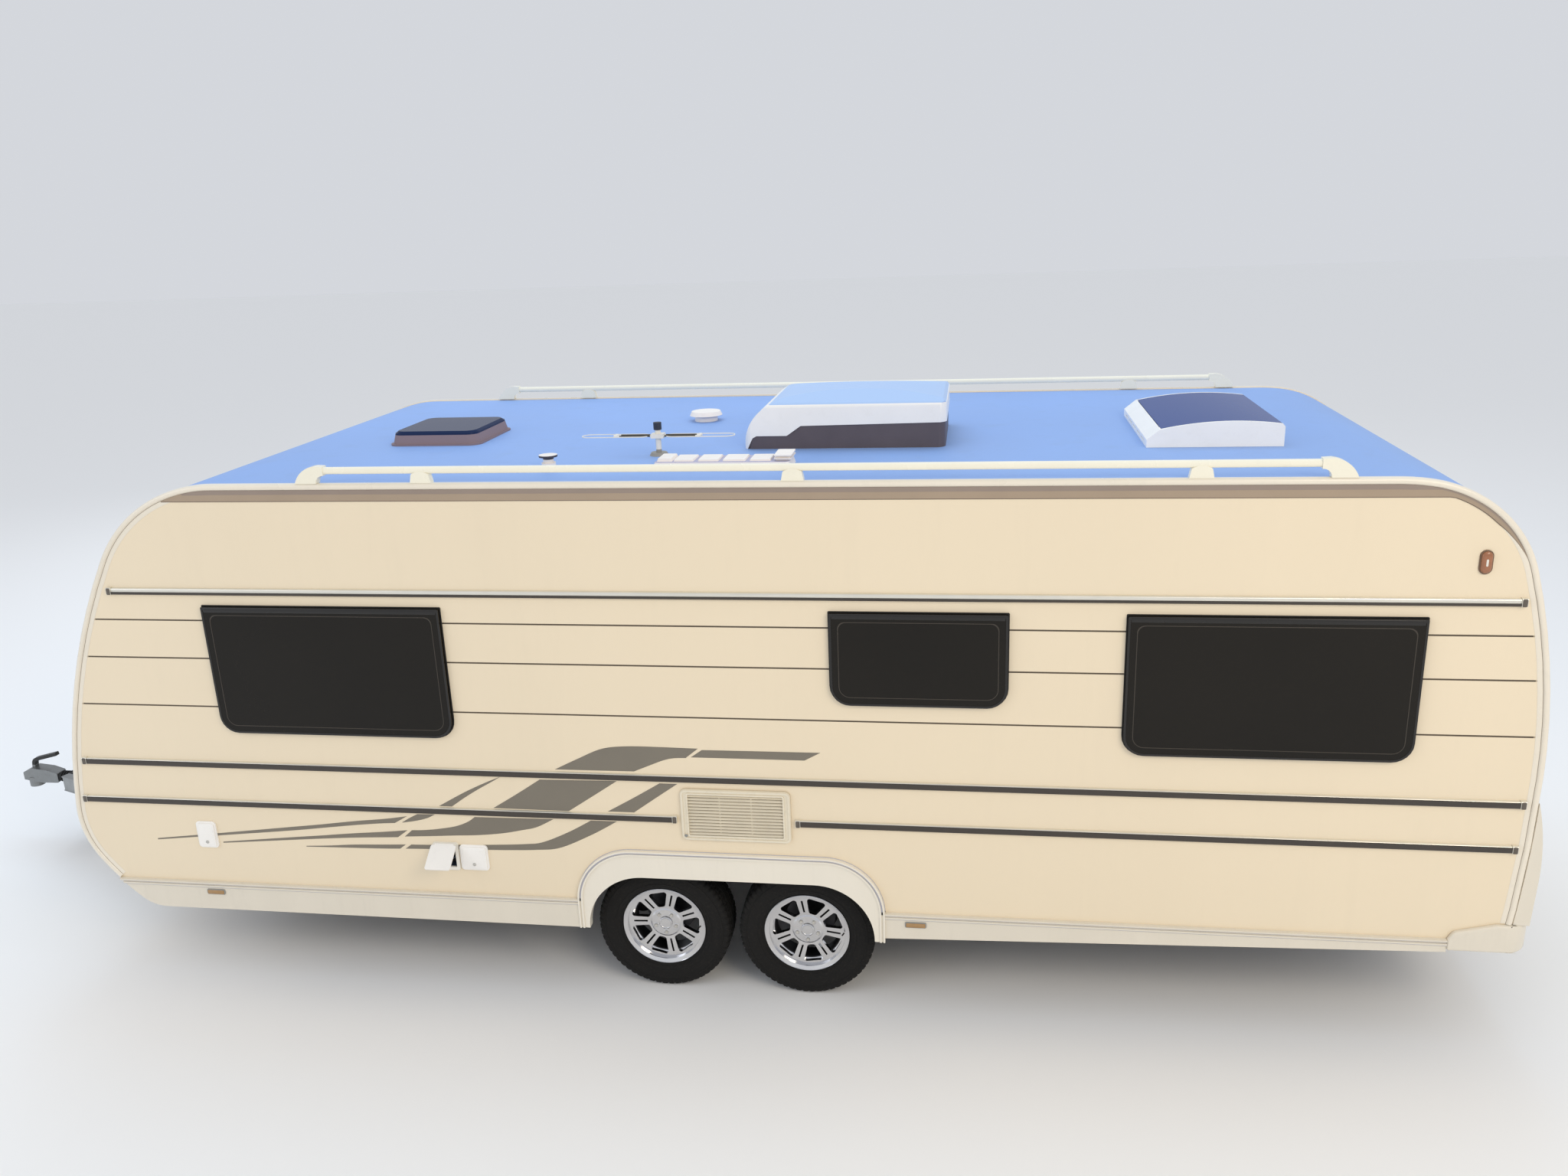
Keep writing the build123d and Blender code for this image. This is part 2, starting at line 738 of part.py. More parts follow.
# Ventilation grille of the fridge: a lipped frame, thirteen slats, two ribs behind them and a lock
slat_count = 13
slat_tilt = 35
grille_depth = 12
grille_lip = 4
grille_border = (35, 25)
with BuildPart() as fridge_grille:
    grille_height = grille_high - grille_low
    grille_mid = (nose_x + grille_front + grille_width / 2, (grille_low + grille_high) / 2)
    opening_width = grille_width - 2 * grille_border[0]
    opening_height = grille_height - 2 * grille_border[1]
    with BuildSketch(Plane.XZ.offset(half_width + grille_depth)):
        with Locations(grille_mid):
            RectangleRounded(grille_width, grille_height, 26)
            RectangleRounded(opening_width, opening_height, 6, mode=Mode.SUBTRACT)
    extrude(amount=-grille_depth)
    with BuildSketch(Plane.XZ.offset(half_width + grille_depth + grille_lip)):
        with Locations(grille_mid):
            RectangleRounded(grille_width - 6, grille_height - 6, 23)
            RectangleRounded(grille_width - 24, grille_height - 24, 14, mode=Mode.SUBTRACT)
            RectangleRounded(opening_width + 14, opening_height + 14, 10)
            RectangleRounded(opening_width, opening_height, 6, mode=Mode.SUBTRACT)
    extrude(amount=-grille_lip)
    slat_pitch = opening_height / slat_count
    for index in range(slat_count):
        level = grille_low + grille_border[1] + slat_pitch * (index + 0.5)
        place = (grille_mid[0], -half_width - grille_depth / 2, level)
        with Locations(Location(place, (slat_tilt, 0, 0))):
            Box(opening_width + 4, 15, 3)
    for third in [-1, 1]:
        with Locations((grille_mid[0] + third * opening_width / 6, -half_width - 2, grille_mid[1])):
            Box(6, 4, opening_height + 4)
    with BuildSketch(Plane.XZ.offset(half_width + grille_depth + 5)):
        with Locations((nose_x + grille_front + 20, grille_low + 24)):
            Circle(8)
    extrude(amount=-5)

# Power inlet: a frame and a cup in the wall, and its lid held open
lid_thickness = 6
lid_open = 54
with BuildPart() as power_inlet:
    front, width, low, high = inlet_box
    inlet_mid = (nose_x + front + width / 2, (low + high) / 2)
    with BuildSketch(Plane.XZ.offset(half_width + 10)):
        with Locations(inlet_mid):
            RectangleRounded(width, high - low, 12)
    extrude(amount=-10)
    with BuildSketch(Plane.XZ.offset(half_width)):
        with Locations(inlet_mid):
            Rectangle(width - 2 * fitting_edge, high - low - 2 * fitting_edge)
    extrude(amount=-80)
    with BuildSketch(Plane.XZ.offset(half_width + 10)):
        with Locations(inlet_mid):
            Rectangle(width - 2 * fitting_edge - 8, high - low - 2 * fitting_edge - 8)
    extrude(amount=-(10 + 76), mode=Mode.SUBTRACT)
    with BuildSketch(Plane.XZ.offset(half_width - 76)):
        with Locations(inlet_mid):
            Circle(38)
            Circle(32, mode=Mode.SUBTRACT)
            with PolarLocations(15, 3, 90):
                Circle(4)
    extrude(amount=45)
    inlet_axis_z = high - 6
    inlet_axis_y = -half_width - 10 - 5.3
    inlet_hinge_plane = Plane(
        origin=(inlet_mid[0], inlet_axis_y, inlet_axis_z), x_dir=(0, 1, 0), z_dir=(1, 0, 0)
    )
    for offset_x in [-width / 2 + 8, width / 2 - 16]:
        with BuildSketch(inlet_hinge_plane.offset(offset_x)):
            Circle(5)
        extrude(amount=8)
        with Locations((inlet_mid[0] + offset_x + 4, -half_width - 10 - 2.65, inlet_axis_z)):
            Box(8, 5.3, 8)
    with BuildSketch(inlet_hinge_plane.offset(-width / 2 + 8)):
        Circle(1.8)
    extrude(amount=width - 16)

with BuildPart() as inlet_lid:
    with BuildSketch(inlet_hinge_plane.offset(-width / 2 + 16.5)):
        Circle(4.6)
        Circle(1.85, mode=Mode.SUBTRACT)
    extrude(amount=width - 33)
    lid_plane = Plane(
        origin=(inlet_mid[0], inlet_axis_y, inlet_axis_z),
        x_dir=(1, 0, 0),
        z_dir=(0, -cos(radians(lid_open)), sin(radians(lid_open))),
    )
    with BuildSketch(lid_plane.offset(1.9)):
        with Locations((0, -70)):
            RectangleRounded(width - 1, 126, 10)
    extrude(amount=lid_thickness)
    with BuildSketch(lid_plane.offset(1.9)):
        with Locations((0, -6)):
            Rectangle(width - 33, 12)
    extrude(amount=2.5)

# Covers of the water filler and of the front service point
with BuildPart() as service_covers:
    for front, width, low, high in [filler_box, small_box]:
        for inset, depth in [(0, 8), (9, 14)]:
            with BuildSketch(Plane.XZ.offset(half_width + depth)):
                with Locations((nose_x + front + width / 2, (low + high) / 2)):
                    RectangleRounded(width - 2 * inset, high - low - 2 * inset, 18 - inset)
            extrude(amount=-depth)

# Roof rails: a tube on each roof edge, with curved feet and brackets
rail_mid_x = nose_x + 3643
rail_half = 2195
rail_y = half_width - 18
rail_tube_radius = 16
rail_rise = 62
bracket_pitch = 1627
foot_length = 137
foot_width = 40
with BuildPart() as roof_rails:
    foot_end = rail_half + rail_tube_radius
    tube_half = foot_end - foot_length
    with BuildSketch(Plane.YZ.offset(rail_mid_x - tube_half)):
        with Locations((-rail_y, roof_height + rail_rise)):
            Circle(rail_tube_radius)
    extrude(amount=2 * tube_half)
    low = roof_height + trim_proud
    for end in [-1, 1]:
        tip = rail_mid_x + end * foot_end
        with BuildSketch(Plane.XZ.offset(rail_y + foot_width / 2)) as foot:
            with BuildLine():
                Line((tip - end * foot_length, roof_height + 82), (tip - end * 100, roof_height + 84))
                ThreePointArc((tip - end * 100, roof_height + 84), (tip - end * 36, roof_height + 58), (tip, low))
                Line((tip, low), (tip - end * 100, low))
                ThreePointArc(
                    (tip - end * 100, low), (tip - end * 110, low + 26), (tip - end * foot_length, low + 36)
                )
                Line((tip - end * foot_length, low + 36), (tip - end * foot_length, roof_height + 82))
            make_face()
        extrude(foot.sketch, amount=-foot_width)
    for step in [-1, 0, 1]:
        station = rail_mid_x + step * bracket_pitch
        with BuildSketch(Plane.XZ.offset(rail_y + 17)) as bracket:
            with BuildLine():
                FilletPolyline(
                    (station - 48, low),
                    (station - 40, low + 40),
                    (station - 14, low + 52),
                    (station + 14, low + 52),
                    (station + 40, low + 40),
                    (station + 48, low),
                    radius=10,
                )
                Line((station + 48, low), (station - 48, low))
            make_face()
        extrude(bracket.sketch, amount=-34)
    mirror(about=Plane.XZ)

# Air conditioner: a dark base and a white shell over it
ac_front = nose_x + 3308
ac_length = 952
ac_y = -180
ac_width = 660
ac_height = 250
ac_ridge_width = 160
ac_crease = 212
# Joint between the base and the shell: distance from the front, height
ac_joint = [(11, -10), (42, 52), (62, 62), (206, 62), (273, 108), (ac_length + 40, 118)]


def ac_side(shrink):
    """Side view: a steep round front and a long shallow top."""
    front = ac_front + shrink
    rear = ac_front + ac_length - shrink
    top = roof_height - shrink
    with BuildSketch() as face:
        with BuildLine():
            Line((front, roof_height), (front + 2, top + 24))
            ThreePointArc((front + 2, top + 24), (front + 66, top + 164), (front + 190, top + 230))
            ThreePointArc((front + 190, top + 230), (front + 532, top + ac_height), (rear - 18, top + 222))
            Polyline((rear - 18, top + 222), (rear, top + 204), (rear, roof_height), (front, roof_height))
        make_face()
    return face.sketch


def ac_form(shrink=0.0):
    """Side view, plan and cross section brought together."""
    half = ac_width / 2 - shrink
    with BuildPart() as form:
        with BuildSketch(Plane.XZ.offset(half - ac_y)) as side_view:
            add(ac_side(shrink))
        extrude(side_view.sketch, amount=-2 * half)
        with BuildSketch(Plane.YZ.offset(ac_front - 50)) as cross:
            with Locations((ac_y, roof_height)):
                with BuildLine():
                    FilletPolyline(
                        (ac_y - half, roof_height),
                        (ac_y - half, roof_height + ac_crease - shrink),
                        (ac_y - ac_ridge_width / 2, roof_height + ac_height + 8),
                        (ac_y + ac_ridge_width / 2, roof_height + ac_height + 8),
                        (ac_y + half, roof_height + ac_crease - shrink),
                        (ac_y + half, roof_height),
                        radius=22,
                    )
                    Line((ac_y + half, roof_height), (ac_y - half, roof_height))
                make_face()
        extrude(cross.sketch, amount=ac_length + 100, mode=Mode.INTERSECT)
        with BuildSketch(Plane.XY.offset(roof_height)) as plan:
            with Locations((ac_front + ac_length / 2, ac_y)):
                RectangleRounded(ac_length - 2 * shrink, 2 * half + 6, 48)
        extrude(plan.sketch, amount=ac_height + 50, mode=Mode.INTERSECT)
    return form.part


def ac_below_joint():
    """Side view of the space under the joint."""
    points = [(ac_front + along, roof_height + up) for along, up in ac_joint]
    with BuildSketch() as face:
        with BuildLine():
            FilletPolyline(*points, radius=12)
            Polyline(points[-1], (points[-1][0], roof_height - 50), (points[0][0], roof_height - 50), points[0])
        make_face()
    return face.sketch


with BuildPart() as air_conditioner_base:
    add(ac_form(6))
    with BuildSketch(Plane.XZ.offset(ac_width)):
        add(ac_below_joint())
    extrude(amount=-2 * ac_width, mode=Mode.INTERSECT)

with BuildPart() as air_conditioner_shell:
    add(ac_form())
    with BuildSketch(Plane.XZ.offset(ac_width)):
        add(ac_below_joint())
    extrude(amount=-2 * ac_width, mode=Mode.SUBTRACT)

# Roof vent of the fridge: a long low hood with raised pads and a lipped outlet
vent_x = nose_x + 3286
vent_y = 370 - half_width
vent_length = 623
vent_width = 180
vent_height = 30
# Pads on the hood: distance from its front, length, height
vent_pads = [(18, 70, 14), (94, 91, 8), (203, 94, 8), (315, 103, 8), (436, 95, 8)]
outlet_lips = [8, 22]
with BuildPart() as fridge_roof_vent:
    vent_front = vent_x - vent_length / 2
    vent_top = roof_height + vent_height
    with BuildSketch(Plane.XY.offset(roof_height)):
        with Locations((vent_x, vent_y)):
            RectangleRounded(vent_length, vent_width, 25)
    extrude(amount=vent_height, taper=18)
    for start, length, height in vent_pads:
        with BuildSketch(Plane.XY.offset(vent_top)) as pad:
            with Locations((vent_front + start + length / 2, vent_y)):
                RectangleRounded(length, vent_width - 50, 8)
        extrude(pad.sketch, amount=height, taper=20)
    outlet_x = vent_front + 585
    with Locations((outlet_x, vent_y, vent_top + outlet_lips[1] / 2)):
        Box(60, vent_width - 60, outlet_lips[1])
    for level in outlet_lips:
        with BuildSketch(Plane.XY.offset(vent_top + level)) as lip:
            with Locations((outlet_x, vent_y)):
                RectangleRounded(78, vent_width - 36, 10)
        extrude(lip.sketch, amount=5)

# Mushroom vent and heater chimney
mushroom_place = (nose_x + 2947, 342)
chimney_place = (nose_x + 2489, 320 - half_width)
with BuildPart() as roof_vents:
    with BuildSketch(Plane.XY.offset(roof_height)):
        with Locations(mushroom_place):
            Circle(62)
        with Locations(chimney_place):
            Circle(32)
    extrude(amount=30)
    with BuildSketch(Plane.XY.offset(roof_height + 30)):
        with Locations(mushroom_place):
            Circle(88)
    extrude(amount=22, taper=25)
    with BuildSketch(Plane.XY.offset(roof_height + 30)):
        with Locations(chimney_place):
            Circle(24)
    extrude(amount=26)
    with BuildSketch(Plane.XY.offset(roof_height + 56)):
        with Locations(chimney_place):
            Circle(42)
    extrude(amount=9)

# Television antenna: a capped mast, two pairs of rods with end knobs, and flat wire loops
antenna_x = nose_x + 2924
antenna_y = 625 - half_width
antenna_height = 120
arm_level = roof_height + 92
rod_length = 171
rod_gap = 34
with BuildPart() as antenna:
    with BuildSketch(Plane.XY.offset(roof_height)):
        with Locations((antenna_x, antenna_y)):
            Circle(45)
    extrude(amount=14, taper=30)
    for low, radius, height in [(roof_height, 13, antenna_height), (roof_height + antenna_height, 19, 34)]:
        with BuildSketch(Plane.XY.offset(low)) as disc:
            with Locations((antenna_x, antenna_y)):
                Circle(radius)
        extrude(disc.sketch, amount=height)
    with Locations((antenna_x, antenna_y, arm_level)):
        Box(60, rod_gap + 16, 20)
    for side in [-1, 1]:
        for row in [-1, 1]:
            start = (antenna_x + side * 25, antenna_y + row * rod_gap / 2, arm_level)
            for reach, radius in [(rod_length + 5, 3.5), (14, 7)]:
                if radius > 5:
                    start = (antenna_x + side * (30 + rod_length - 7), start[1], arm_level)
                with BuildSketch(Plane(origin=start, z_dir=(side, 0, 0))) as rod:
                    Circle(radius)
                extrude(rod.sketch, amount=reach)
        with BuildSketch(Plane.XY.offset(arm_level - 2)) as loop:
            with Locations((antenna_x + side * 202, antenna_y)):
                SlotOverall(330, 84)
                SlotOverall(322, 76, mode=Mode.SUBTRACT)
        extrude(loop.sketch, amount=4)

# Rooflights: the arched white housing of the rear one, and both dark domes
light_x, light_y, light_length, light_width = rear_light
light_front = light_x - light_length / 2
light_rear = light_x + light_length / 2
light_cheek = 15
glass_thickness = 12
glass_start = 62


def arched_profile(drop=0.0):
    """Side view of the rear rooflight: a low front, an arch and an upright rear."""
    with BuildSketch() as face:
        with BuildLine():
            low = Line((light_front, roof_height), (light_front, roof_height + 35 - drop))
            slope = Line(low @ 1, (light_front + 55, roof_height + 80 - drop))
            crown = (light_front + 0.54 * light_length, roof_height + 113 - drop)
            arch = ThreePointArc(slope @ 1, crown, (light_rear - 10, roof_height + 100 - drop))
            Polyline(arch @ 1, (light_rear, roof_height + 88 - drop), (light_rear, roof_height), low @ 0)
        make_face()
    return face.sketch


with BuildPart() as rooflight_frame:
    with BuildSketch(Plane.XZ.offset(light_width / 2 - light_y)):
        add(arched_profile())
    extrude(amount=-light_width)
    with BuildSketch(Plane.XZ.offset(light_width / 2 - light_y - light_cheek)):
        add(arched_profile())
        add(arched_profile(glass_thickness), mode=Mode.SUBTRACT)
        keep(roof_height + 60, roof_height + 200, front=light_front + glass_start)
    extrude(amount=-(light_width - 2 * light_cheek), mode=Mode.SUBTRACT)
    with BuildSketch(Plane.XY.offset(roof_height)):
        with Locations((light_x, light_y)):
            Rectangle(light_length - 2 * light_border, light_width - 2 * light_border)
    extrude(amount=200, mode=Mode.SUBTRACT)
    # Slots in the low front
    for step in [-2, -1, 0, 1, 2]:
        with Locations((light_front, light_y + step * 150, roof_height + 18)):
            Box(16, 110, 8, mode=Mode.SUBTRACT)

with BuildPart() as rooflight_domes:
    with BuildSketch(Plane.XZ.offset(light_width / 2 - light_y - light_cheek - 1)):
        add(arched_profile(0))
        add(arched_profile(glass_thickness), mode=Mode.SUBTRACT)
        keep(roof_height + 60, roof_height + 200, front=light_front + glass_start + 1, rear=light_rear - 2)
    extrude(amount=-(light_width - 2 * light_cheek - 2))
    x, y, length, width = front_light
    with BuildSketch(Plane.XY.offset(roof_height)) as flange:
        with Locations((x, y)):
            RectangleRounded(length, width, 60)
    extrude(flange.sketch, amount=8)
    # Dome: level over the roof, how much narrower than the flange, corner radius
    for low, high, low_less, high_less in [(8, 60, 20, 46), (60, 70, 46, 70)]:
        with BuildSketch(Plane.XY.offset(roof_height + low)) as lower:
            with Locations((x, y)):
                RectangleRounded(length - low_less, width - low_less, 58)
        with BuildSketch(Plane.XY.offset(roof_height + high)) as upper:
            with Locations((x, y)):
                RectangleRounded(length - high_less, width - high_less, 50)
        loft([lower.sketch, upper.sketch])

# Carriers of the rear lamps, moulded over the rear corners
carrier_width = 200
carrier_top = 1180
carrier_rear = overall_length / 2 - 12
with BuildPart() as lamp_carriers:
    with BuildSketch(Plane.XZ.offset(half_width + trim_proud)):
        with BuildLine():
            foot = Line((tail_x - 90, bumper_high), (carrier_rear - 8, bumper_high))
            back = Line((carrier_rear - 8, bumper_high), (carrier_rear, 800))
            top = TangentArc(back @ 1, (tail_x + 2, carrier_top), tangent=back % 1)
            Polyline(top @ 1, (tail_x - 90, carrier_top), foot @ 0)
        make_face()
        add(side_profile(), mode=Mode.SUBTRACT)
    extrude(amount=-carrier_width)
    with BuildSketch(Plane.XZ.offset(half_width + 2 * trim_proud)):
        add(side_profile(-trim_proud - 0.3))
    extrude(amount=-(2 * trim_proud + trim_return + 0.3), mode=Mode.SUBTRACT)
    mirror(about=Plane.XZ)

# Lamps: round ones on the carriers, side markers and the upper rear markers
lamp_radius = 62
lamp_depth = 10
with BuildPart() as lamps:
    back_angle = degrees(asin(8 / (800 - bumper_high)))
    for height in [680]:
        lamp_plane = Plane(
            origin=(carrier_rear - 8 * (800 - height) / (800 - bumper_high), -half_width + 90, height),
            x_dir=(0, 1, 0),
            z_dir=(cos(radians(back_angle)), 0, -sin(radians(back_angle))),
        )
        with BuildSketch(lamp_plane.offset(0.2)):
            Circle(lamp_radius)
        extrude(amount=lamp_depth)
    with BuildSketch(Plane.XZ.offset(half_width + 16)):
        with Locations((rear_skin(shoulder_height) - 189, shoulder_height + 35)):
            SlotOverall(98, 50, rotation=90)
    extrude(amount=-16)
    with BuildSketch(Plane.XZ.offset(half_width + skirt_thickness + 10)):
        with Locations((nose_x + 679, 468), (nose_x + 4137, 468)):
            RectangleRounded(94, 26, 6)
    extrude(amount=-10)
    mirror(about=Plane.XZ)

# Jockey wheel and corner steadies: places on the chassis
drawbar_tip_x = coupling_x + 310
drawbar_tip_y = 66
jockey_x = drawbar_tip_x + 60
jockey_y = 160
jockey_radius = 100
jockey_trail = 40
outer_tube = 30
inner_tube = 24
sleeve_length = 394
steady_length = 430
steady_front_x = nose_x + 1000
steady_rear_x = tail_x - 720
steady_z = beam_bottom - 34
steady_places = [
    ("front_left", steady_front_x, -1, -1),
    ("front_right", steady_front_x, -1, 1),
    ("rear_left", steady_rear_x, 1, -1),
    ("rear_right", steady_rear_x, 1, 1),
]

# Chassis: two open beams from the drawbar's joint to the rear, with the brackets of the steadies
drawbar_joint_x = nose_x + 900
chassis_rear = tail_x - 100
web_shift = (beam_flange - beam_web) / 2
leg_slope = (beam_y - drawbar_tip_y) / (drawbar_joint_x - drawbar_tip_x)
leg_stretch = (1 + leg_slope**2) ** 0.5


def leg_line(x, shift=0.0):
    """Y of a drawbar leg at a station, shifted squarely from its middle line."""
    return drawbar_tip_y + leg_slope * (x - drawbar_tip_x) + shift * leg_stretch


def open_beam(start, end, rear):
    """Two flanges and an outer web between two points, cut square at the rear."""
    web_start = (start[0], start[1] + web_shift)
    web_end = (end[0], end[1] + web_shift)
    for low, points, section, height in [
        (beam_bottom, (start, end), beam_flange, beam_web),
        (floor_bottom - beam_web, (start, end), beam_flange, beam_web),
        (beam_bottom, (web_start, web_end), beam_web, beam_height),
    ]:
        with BuildSketch(Plane.XY.offset(low)) as strip:
            with BuildLine():
                Polyline(*points)
            trace(line_width=section)
            with Locations((rear + overall_length / 2, 0)):
                Rectangle(overall_length, 2 * body_width, mode=Mode.SUBTRACT)
        extrude(strip.sketch, amount=height)


with BuildPart() as chassis_beams:
    open_beam((drawbar_joint_x, beam_y), (chassis_rear, beam_y), chassis_rear)
    for name, x, outward, side in steady_places[1::2]:
        with Locations((x, beam_y, beam_bottom - 3)):
            Box(70, 70, 6)
        with Locations((x, beam_y - 32, beam_bottom - 28), (x, beam_y + 32, beam_bottom - 28)):
            Box(50, 6, 50)
        with BuildSketch(Plane.XZ.offset(-beam_y + 35)):
            with Locations((x, steady_z)):
                Circle(9)
        extrude(amount=-70)
    mirror(about=Plane.XZ)

# Drawbar: two legs from the tip to the beams
with BuildPart() as drawbar_legs:
    leg_end = drawbar_joint_x + 60
    open_beam((drawbar_tip_x, drawbar_tip_y), (leg_end, leg_line(leg_end)), drawbar_joint_x)
    mirror(about=Plane.XZ)

# Cross members, seated between the webs; the foremost follows the drawbar's legs
with BuildPart() as cross_members:
    reach = beam_y + web_shift - beam_web / 2
    for x in [drawbar_joint_x + 27, axle_mid_x + 900, chassis_rear - 60]:
        with Locations((x, 0, floor_bottom - beam_height / 2)):
            Box(50, 2 * reach, beam_height - 20)
    with BuildSketch(Plane.XY.offset(beam_bottom + 10)):
        with BuildLine():
            near = nose_x + 395
            far = nose_x + 445
            near_y = leg_line(near) + web_shift - beam_web / 2 * leg_stretch
            far_y = leg_line(far) + web_shift - beam_web / 2 * leg_stretch
            Polyline((near, -near_y), (far, -far_y), (far, far_y), (near, near_y), close=True)
        make_face()
    extrude(amount=beam_height - 20)

# Fittings on the drawbar: the top plate between its legs, and the clamp of the jockey wheel
with BuildPart() as drawbar_fittings:
    with BuildSketch(Plane.XY.offset(floor_bottom - beam_web)):
        with BuildLine():
            near = drawbar_tip_x + 100
            far = drawbar_tip_x + 420
            near_y = leg_line(near, -beam_flange / 2)
            far_y = leg_line(far, -beam_flange / 2)
            Polyline((near, -near_y), (far, -far_y), (far, far_y), (near, near_y), close=True)
        make_face()
    extrude(amount=beam_web)
    with BuildSketch(Plane.XY.offset(beam_bottom + 8)):
        with BuildLine():
            near = jockey_x - 45
            far = jockey_x + 45
            near_y = leg_line(near) + web_shift + beam_web / 2 * leg_stretch
            far_y = leg_line(far) + web_shift + beam_web / 2 * leg_stretch
            Polyline((near, near_y), (far, far_y), (far, jockey_y), (near, jockey_y), close=True)
        make_face()
    extrude(amount=beam_height - 16)
    with BuildSketch(Plane.XY.offset(beam_bottom)):
        with Locations((jockey_x, jockey_y)):
            Circle(outer_tube)
    extrude(amount=sleeve_length)
    with BuildSketch(Plane.XY.offset(beam_bottom)):
        with Locations((jockey_x, jockey_y)):
            Circle(inner_tube + pin_fit)
    extrude(amount=sleeve_length, mode=Mode.SUBTRACT)

# Axles: tube, trailing arms, stub axles and brake back plates
arm_y = 925
arm_width = 40
back_plate_radius = 128
spindle_end = track / 2 + 35
with BuildPart() as axles:
    for x in axle_places:
        tube_x = x - trailing_arm
        tube_z = beam_bottom - axle_tube_radius
        with BuildSketch(Plane.XZ.offset(arm_y)):
            with Locations((tube_x, tube_z)):
                Circle(axle_tube_radius)
        extrude(amount=-2 * arm_y)
        for side in [-1, 1]:
            with Locations((tube_x, side * beam_y, tube_z + axle_tube_radius - 12)):
                Box(120, 60, 24)
            start = Plane.XZ.offset(-side * arm_y + arm_width / 2)
            with BuildSketch(start):
                with BuildLine():
                    Polyline((tube_x, tube_z), (x, tyre_radius))
                trace(line_width=70)
                with Locations((tube_x, tube_z)):
                    Circle(58)
                with Locations((x, tyre_radius)):
                    Circle(42)
            extrude(amount=-arm_width)
            with BuildSketch(Plane.XZ.offset(-side * (arm_y + arm_width / 2))):
                with Locations((x, tyre_radius)):
                    Circle(back_plate_radius)
            extrude(amount=-side * 6)
            with BuildSketch(Plane.XZ.offset(-side * (arm_y + arm_width / 2))):
                with Locations((x, tyre_radius)):
                    Circle(spindle_radius)
            extrude(amount=-side * (spindle_end - arm_y - arm_width / 2))

# Wheels: tyres and alloy rims with their brake drums
bead_radius = 188
tread_half = 88
tyre_wall = 12
drum_radius = 118
drum_start = arm_y + arm_width / 2 + 6 + 4
wheel_mid = track / 2


def tyre_section():
    """Section of the tyre, open towards the rim."""
    half = tyre_width / 2
    bead = rim_width / 2 - 12.4
    lip = rim_width / 2 - 10.7
    foot = bead_radius + 0.4
    with BuildSketch(Plane.YZ) as section:
        with BuildLine():
            left = Line((-bead, foot), (-lip, rim_radius + 1))
            right = Line((bead, foot), (lip, rim_radius + 1))
            FilletPolyline(
                left @ 1,
                (-half, rim_radius + 20),
                (-half, tyre_radius - 36),
                (-tread_half, tyre_radius),
                (tread_half, tyre_radius),
                (half, tyre_radius - 36),
                (half, rim_radius + 20),
                right @ 1,
                radius=16,
            )
            Polyline(
                right @ 0,
                (bead - tyre_wall, foot),
                (lip - tyre_wall, rim_radius + 4),
                (half - tyre_wall, rim_radius + 26),
                (half - tyre_wall, tyre_radius - 38),
                (tread_half - 8, tyre_radius - 16),
                (-tread_half + 8, tyre_radius - 16),
                (-half + tyre_wall, tyre_radius - 38),
                (-half + tyre_wall, rim_radius + 26),
                (-lip + tyre_wall, rim_radius + 4),
                (-bead + tyre_wall, foot),
                left @ 0,
            )
        make_face()
    return section.sketch


def spin(section, side, x):
    """Turn a section about the wheel's own axle."""
    place = Location((x, side * wheel_mid, tyre_radius))
    axis = Axis((x, 0, tyre_radius), (0, 1, 0))
    revolve(section.moved(place), axis=axis)


def rim_section():
    """Section of the barrel, with its flanges and its well; Y is outward."""
    half = rim_width / 2
    with BuildSketch(Plane.YZ) as section:
        with BuildLine():
            Polyline(
                (half, rim_radius),
                (half - 10, rim_radius),
                (half - 12, bead_radius),
                (half - 44, bead_radius - 1),
                (half - 56, bead_radius - 22),
                (-half + 46, bead_radius - 22),
                (-half + 34, bead_radius - 1),
                (-half + 12, bead_radius),
                (-half + 10, rim_radius),
                (-half, rim_radius),
                (-half + 2, bead_radius - 6),
                (-half + 29, bead_radius - 7),
                (-half + 41, bead_radius - 29),
                (half - 51, bead_radius - 29),
                (half - 39, bead_radius - 7),
                (half - 6, bead_radius - 6),
                close=True,
            )
        make_face()
    return section.sketch


pair_count = 7
pair_turn = [24, -4]
spoke_thickness = 30
hub_radius = 72
hub_face = rim_width / 2 - 34
slit_width = 9


def disc_section():
    """Section of the spoked disc, rising from the hub to the barrel; Y is outward."""
    face = hub_face
    with BuildSketch(Plane.YZ) as section:
        with BuildLine():
            Polyline(
                (face - spoke_thickness, 0),
                (face, 0),
                (face, hub_radius - 4),
                (face - 4, hub_radius + 4),
                (face + 9, bead_radius - 4),
                (face - 10, bead_radius - 4),
                (face - spoke_thickness + 2, hub_radius + 14),
                (face - spoke_thickness, hub_radius),
                close=True,
            )
        make_face()
    return section.sketch


def rim_window():
    """Rounded opening between two pairs of spokes, along X."""
    with BuildSketch() as opening:
        Polygon((84, -17), (166, -50), (166, 50), (84, 17), align=None)
        fillet(opening.vertices(), radius=13)
    return opening.sketch


wheel_names = []
for number, x in enumerate(axle_places):
    for side, side_name in [(-1, "left"), (1, "right")]:
        wheel_names.append((f"{['front', 'rear'][number]}_{side_name}", x, side))

